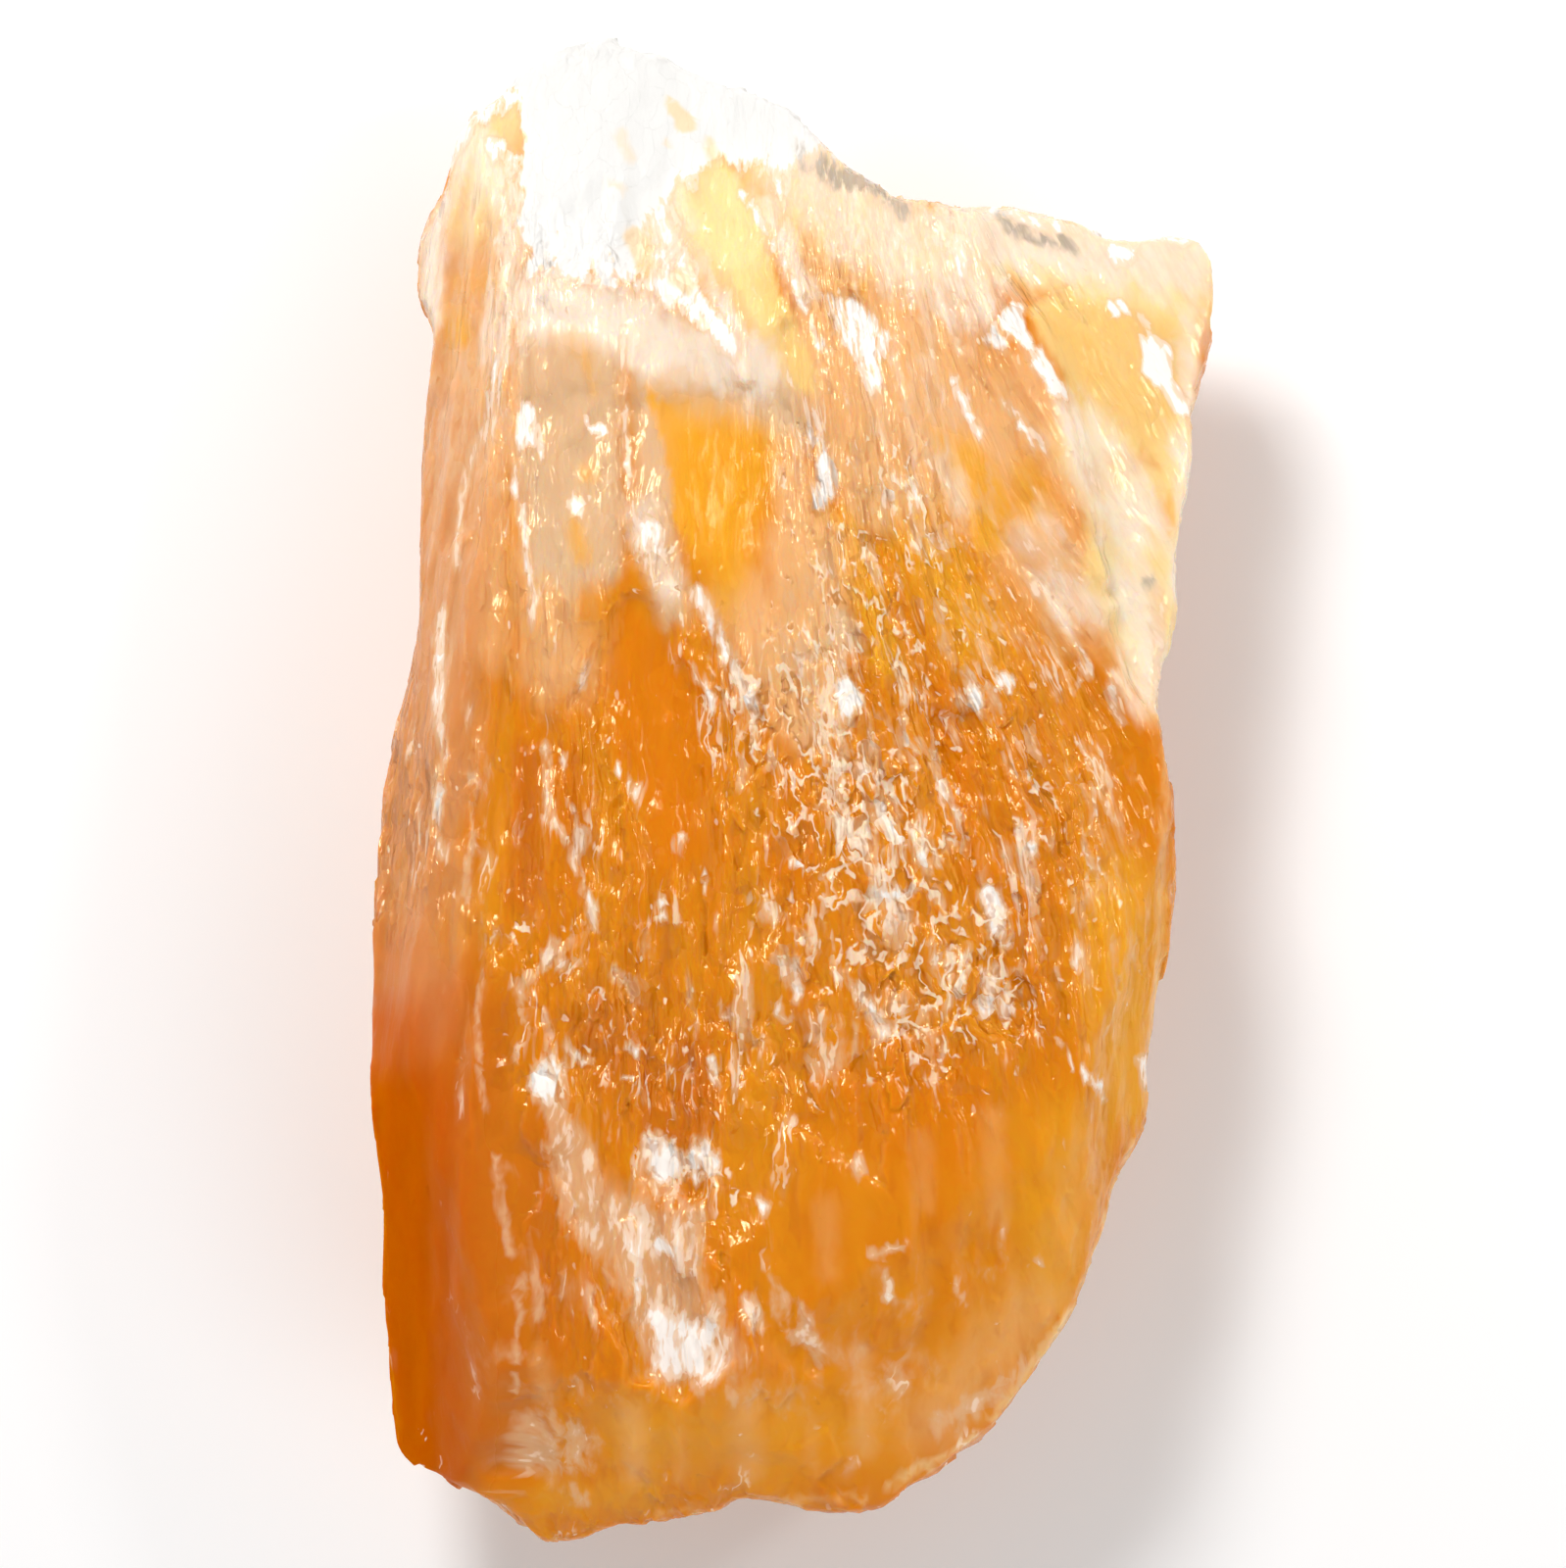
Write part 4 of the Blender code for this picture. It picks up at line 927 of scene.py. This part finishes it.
def fine_lines(nodes, masks, bent, streaks):
    """Painted highlight lines, with painted shade lines beside them, where the stone is sugary, and painted
    highlight threads along the fibres.
    """
    def line(value, middle):
        """Thin lines where the value passes this middle."""
        return nodes.ease(nodes.math("ABSOLUTE", nodes.math("SUBTRACT", value, middle)), 0.044, 0.018)

    folds = nodes.noise(nodes.stretched(bent, FOLD_SCALE), 0.55)
    presence = nodes.ease(masks["presence"], 0.60, 0.70)
    thready = nodes.math("ADD", masks["patches"], -0.10)
    thready = nodes.math("MULTIPLY_ADD", masks["texture"], 0.14, thready)
    thread = nodes.math("MULTIPLY", line(streaks, 0.53), nodes.ease(thready, 0.53, 0.66, 0.0, 0.8))
    below_end = nodes.math("SUBTRACT", 1.0, masks["white_end_and_glare"])
    highlight = nodes.math("MAXIMUM", nodes.math("MULTIPLY", line(folds, 0.5), presence), thread)
    shaded_fold = nodes.math("MULTIPLY", line(folds, 0.57), presence)
    return nodes.math("MULTIPLY", highlight, below_end), nodes.math("MULTIPLY", shaded_fold, below_end)


def painted_sparkles(nodes, masks, chance, from_middle, milk):
    """Painted sparkle highlights: bright dots in the middle of some crystals, where the stone is rough,
    clear and gleams.
    """
    sparkle = nodes.math("MULTIPLY", nodes.ease(from_middle, 0.15, 0.08), nodes.ease(chance, 0.90, 0.93))
    sparkle = nodes.math("MULTIPLY", sparkle, nodes.ease(masks["texture"], 0.1, 0.7))
    sparkle = nodes.math("MULTIPLY", sparkle, nodes.math("SUBTRACT", 1.0, milk))
    return nodes.math("MULTIPLY", sparkle, nodes.ease(masks["gleam"], 0.20, 0.65))


def fine_dirt_and_shade(nodes, masks, grain, chance):
    """The mask of grey dirt and painted wrinkle shade, broken up by the grains and crystals."""
    dirt_and_shade = nodes.math("MULTIPLY_ADD", nodes.math("SUBTRACT", grain, 0.5), 2.0, 1.0)
    dirt_and_shade = nodes.math("MULTIPLY_ADD", nodes.math("SUBTRACT", chance, 0.5), 0.7, dirt_and_shade)
    return nodes.math("MULTIPLY", dirt_and_shade, masks["dirt_and_shade"])


def stone_material():
    """Translucent orange calcite: fibrous bands, white frost, sugary grains and fine glints; its colour also
    holds painted highlights, shade lines, sheen, glow and glare.
    """
    nodes = Nodes("orange_calcite")
    masks = {name: nodes.stored(name) for name in MASKS}
    place, bent = nodes.stored("place", "Vector"), nodes.stored("bent", "Vector")
    streaks = nodes.noise(nodes.stretched(place, STREAK_SCALE), 0.6)
    grain = nodes.noise(nodes.stretched(place, GRAIN_SCALE), 0.6)
    crystals, chance, from_middle = nodes.facets(nodes.stretched(bent, CRYSTAL_SCALE))

    level = frost_level(nodes, masks, streaks, grain, chance)
    haze = nodes.ease(level, 0.12, 0.55, 0.0, 0.72)
    haze = nodes.math("MULTIPLY", haze, nodes.math("MULTIPLY_ADD", masks["pale"], -0.6, 1.0))
    milk = nodes.ease(level, 0.54, 0.82, 0.0, 0.85)
    white = nodes.ease(level, 0.88, 1.14)
    dark_streak = nodes.ease(streaks, 0.46, 0.30, 0.0, 0.4)
    painted_highlight_line, painted_shade_line = fine_lines(nodes, masks, bent, streaks)
    sparkle = painted_sparkles(nodes, masks, chance, from_middle, milk)
    dirt_and_shade = fine_dirt_and_shade(nodes, masks, grain, chance)

    colour = nodes.stored("base", "Color")
    layers = [
        (nodes.math("MULTIPLY", dark_streak, nodes.stored("base", "Alpha")), DEEP_ORANGE),
        (haze, HAZE),
        (milk, MILK),
        (white, WHITE),
        # The white end's frost and painted glare, turned to chalk white
        (nodes.math("MULTIPLY", white, masks["white_end_and_glare"]), CHALK),
        (nodes.ease(masks["tan"], 0.15, 0.60, 0.0, 0.8), TAN),
        # Painted shade lines, then painted highlight lines and sparkles
        (nodes.math("MULTIPLY", painted_shade_line, 0.45), SHADE_LINE),
        (nodes.math("MULTIPLY", painted_highlight_line, 0.78), PAINTED_GLINT),
        (nodes.math("MULTIPLY", sparkle, 0.75), PAINTED_GLINT),
        (nodes.ease(dirt_and_shade, 0.15, 0.85, 0.0, 0.75), DIRT_AND_SHADE_GREY),
    ]
    for amount, shade in layers:
        colour = nodes.blend(amount, colour, shade)

    height = nodes.math("MULTIPLY_ADD", streaks, 0.9, crystals)
    reach = nodes.math("MULTIPLY_ADD", masks["texture"], ROUGH_BUMP * MM, CALM_BUMP * MM)
    bump = nodes.add("ShaderNodeBump", {"Strength": 1.0, "Distance": reach, "Height": height})
    dullness = nodes.math("MULTIPLY_ADD", masks["gleam"], -0.6, 0.62)
    clearness = nodes.math("MULTIPLY_ADD", milk, -0.75, 0.88)
    clearness = nodes.math("MULTIPLY_ADD", white, -0.25, clearness)
    clearness = nodes.math("MULTIPLY_ADD", painted_highlight_line, -0.2, clearness)
    inputs = {
        "Base Color": colour,
        "Roughness": nodes.math("MULTIPLY_ADD", milk, 0.20, dullness),
        "Normal": bump,
        "Subsurface Weight": nodes.math("MAXIMUM", clearness, 0.0),
        "Subsurface Radius": SCATTER_RADIUS,
        "Subsurface Scale": SCATTER_SCALE * MM,
        "Specular IOR Level": masks["gleam"],
        "Specular Tint": REFLECTION_TINT,
        "IOR": REFRACTION,
    }
    for name, value in inputs.items():
        nodes.feed(nodes.shader.inputs[name], value)
    return nodes.material


def floor_material():
    """Plain, matt and almost white."""
    nodes = Nodes("pale_floor")
    nodes.shader.inputs["Base Color"].default_value = FLOOR_COLOUR
    nodes.shader.inputs["Roughness"].default_value = 0.9
    nodes.shader.inputs["Specular IOR Level"].default_value = 0.0
    return nodes.material


def make_stone(node):
    """The lump's finished surface, made from its solid."""
    fine = with_modifier(node.data.copy(), "REMESH", mode="VOXEL", voxel_size=VOXEL * MM)
    even = with_modifier(fine, "SMOOTH", factor=0.5, iterations=SMOOTHING_PASSES)
    soften_creases(even)
    points, normals = points_of(even) / MM, points_of(even, "normal")
    points += normals * fine_relief(points, normals)[:, None]
    low, high = (np.array(corner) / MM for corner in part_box(node.name))
    points = np.clip(points, low, high)
    even.vertices.foreach_set("co", (points * MM).astype(np.float32).ravel())
    even.update()
    even.calc_loop_triangles()
    ratio = min(1.0, MOST_TRIANGLES / len(even.loop_triangles))
    mesh = with_modifier(even, "DECIMATE", ratio=ratio, use_collapse_triangulate=True)
    mesh.materials.clear()
    mesh.materials.append(stone_material())
    put_masks(mesh)
    mesh.shade_smooth()
    stone = bpy.data.objects.new("stone", mesh)
    bpy.context.scene.collection.objects.link(stone)
    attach(stone, "root")
    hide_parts(node.name)
    return stone


def make_floor():
    bpy.ops.mesh.primitive_plane_add(size=FLOOR_SIZE, location=(0.0, 0.0, 0.0))
    floor = bpy.context.object
    floor.name = "floor"
    floor.data.materials.append(floor_material())


def add_light(name, place, size, power):
    """A soft, white, square light aimed at the stone."""
    data = bpy.data.lights.new(name, "AREA")
    data.size = size
    data.energy = power
    light = bpy.data.objects.new(name, data)
    light.location = place
    light.rotation_euler = (-Vector(place)).to_track_quat("-Z", "Y").to_euler()
    bpy.context.scene.collection.objects.link(light)
    return light


def studio_world():
    """White walls and a dimmer ceiling, so that level faces stay rich and tilted ones gleam."""
    world = bpy.data.worlds.new("studio")
    world.use_nodes = True
    tree = world.node_tree
    direction = tree.nodes.new("ShaderNodeTexCoord")
    parts = tree.nodes.new("ShaderNodeSeparateXYZ")
    strength = tree.nodes.new("ShaderNodeMapRange")
    strength.interpolation_type = "SMOOTHSTEP"
    strength.inputs["From Min"].default_value = 0.25
    strength.inputs["From Max"].default_value = 0.97
    strength.inputs["To Min"].default_value = WALL_BRIGHTNESS
    strength.inputs["To Max"].default_value = CEILING_BRIGHTNESS
    background = tree.nodes["Background"]
    background.inputs["Color"].default_value = (1.0, 1.0, 1.0, 1.0)
    tree.links.new(direction.outputs["Generated"], parts.inputs["Vector"])
    tree.links.new(parts.outputs["Z"], strength.inputs["Value"])
    tree.links.new(strength.outputs["Result"], background.inputs["Strength"])
    return world


def set_lights():
    """A key at the upper left, a small kicker at the upper right, a wide fill and the white room."""
    lights = {name: add_light(name, place, size, power) for name, place, size, power in LIGHTS}
    lights["fill"].visible_glossy = False
    bpy.context.scene.world = studio_world()
    bpy.context.scene.view_settings.view_transform = "Standard"


def set_camera():
    """Straight down over the stone, with +Y up in the picture."""
    data = bpy.data.cameras.new("camera")
    data.sensor_fit = "HORIZONTAL"
    data.sensor_width = SENSOR_WIDTH
    data.lens = SENSOR_WIDTH * CAMERA_ABOVE_RIM / FRAME_WIDTH
    data.clip_start = 0.01
    camera = bpy.data.objects.new("camera", data)
    height = RIM_HEIGHT + CAMERA_ABOVE_RIM
    camera.location = (FRAME_CENTRE[0] * MM, FRAME_CENTRE[1] * MM, height * MM)
    bpy.context.scene.collection.objects.link(camera)
    bpy.context.scene.camera = camera


def main():
    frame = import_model()
    make_stone(frame["nodes"]["calcite_lump"])
    make_floor()
    set_lights()
    set_camera()


main()
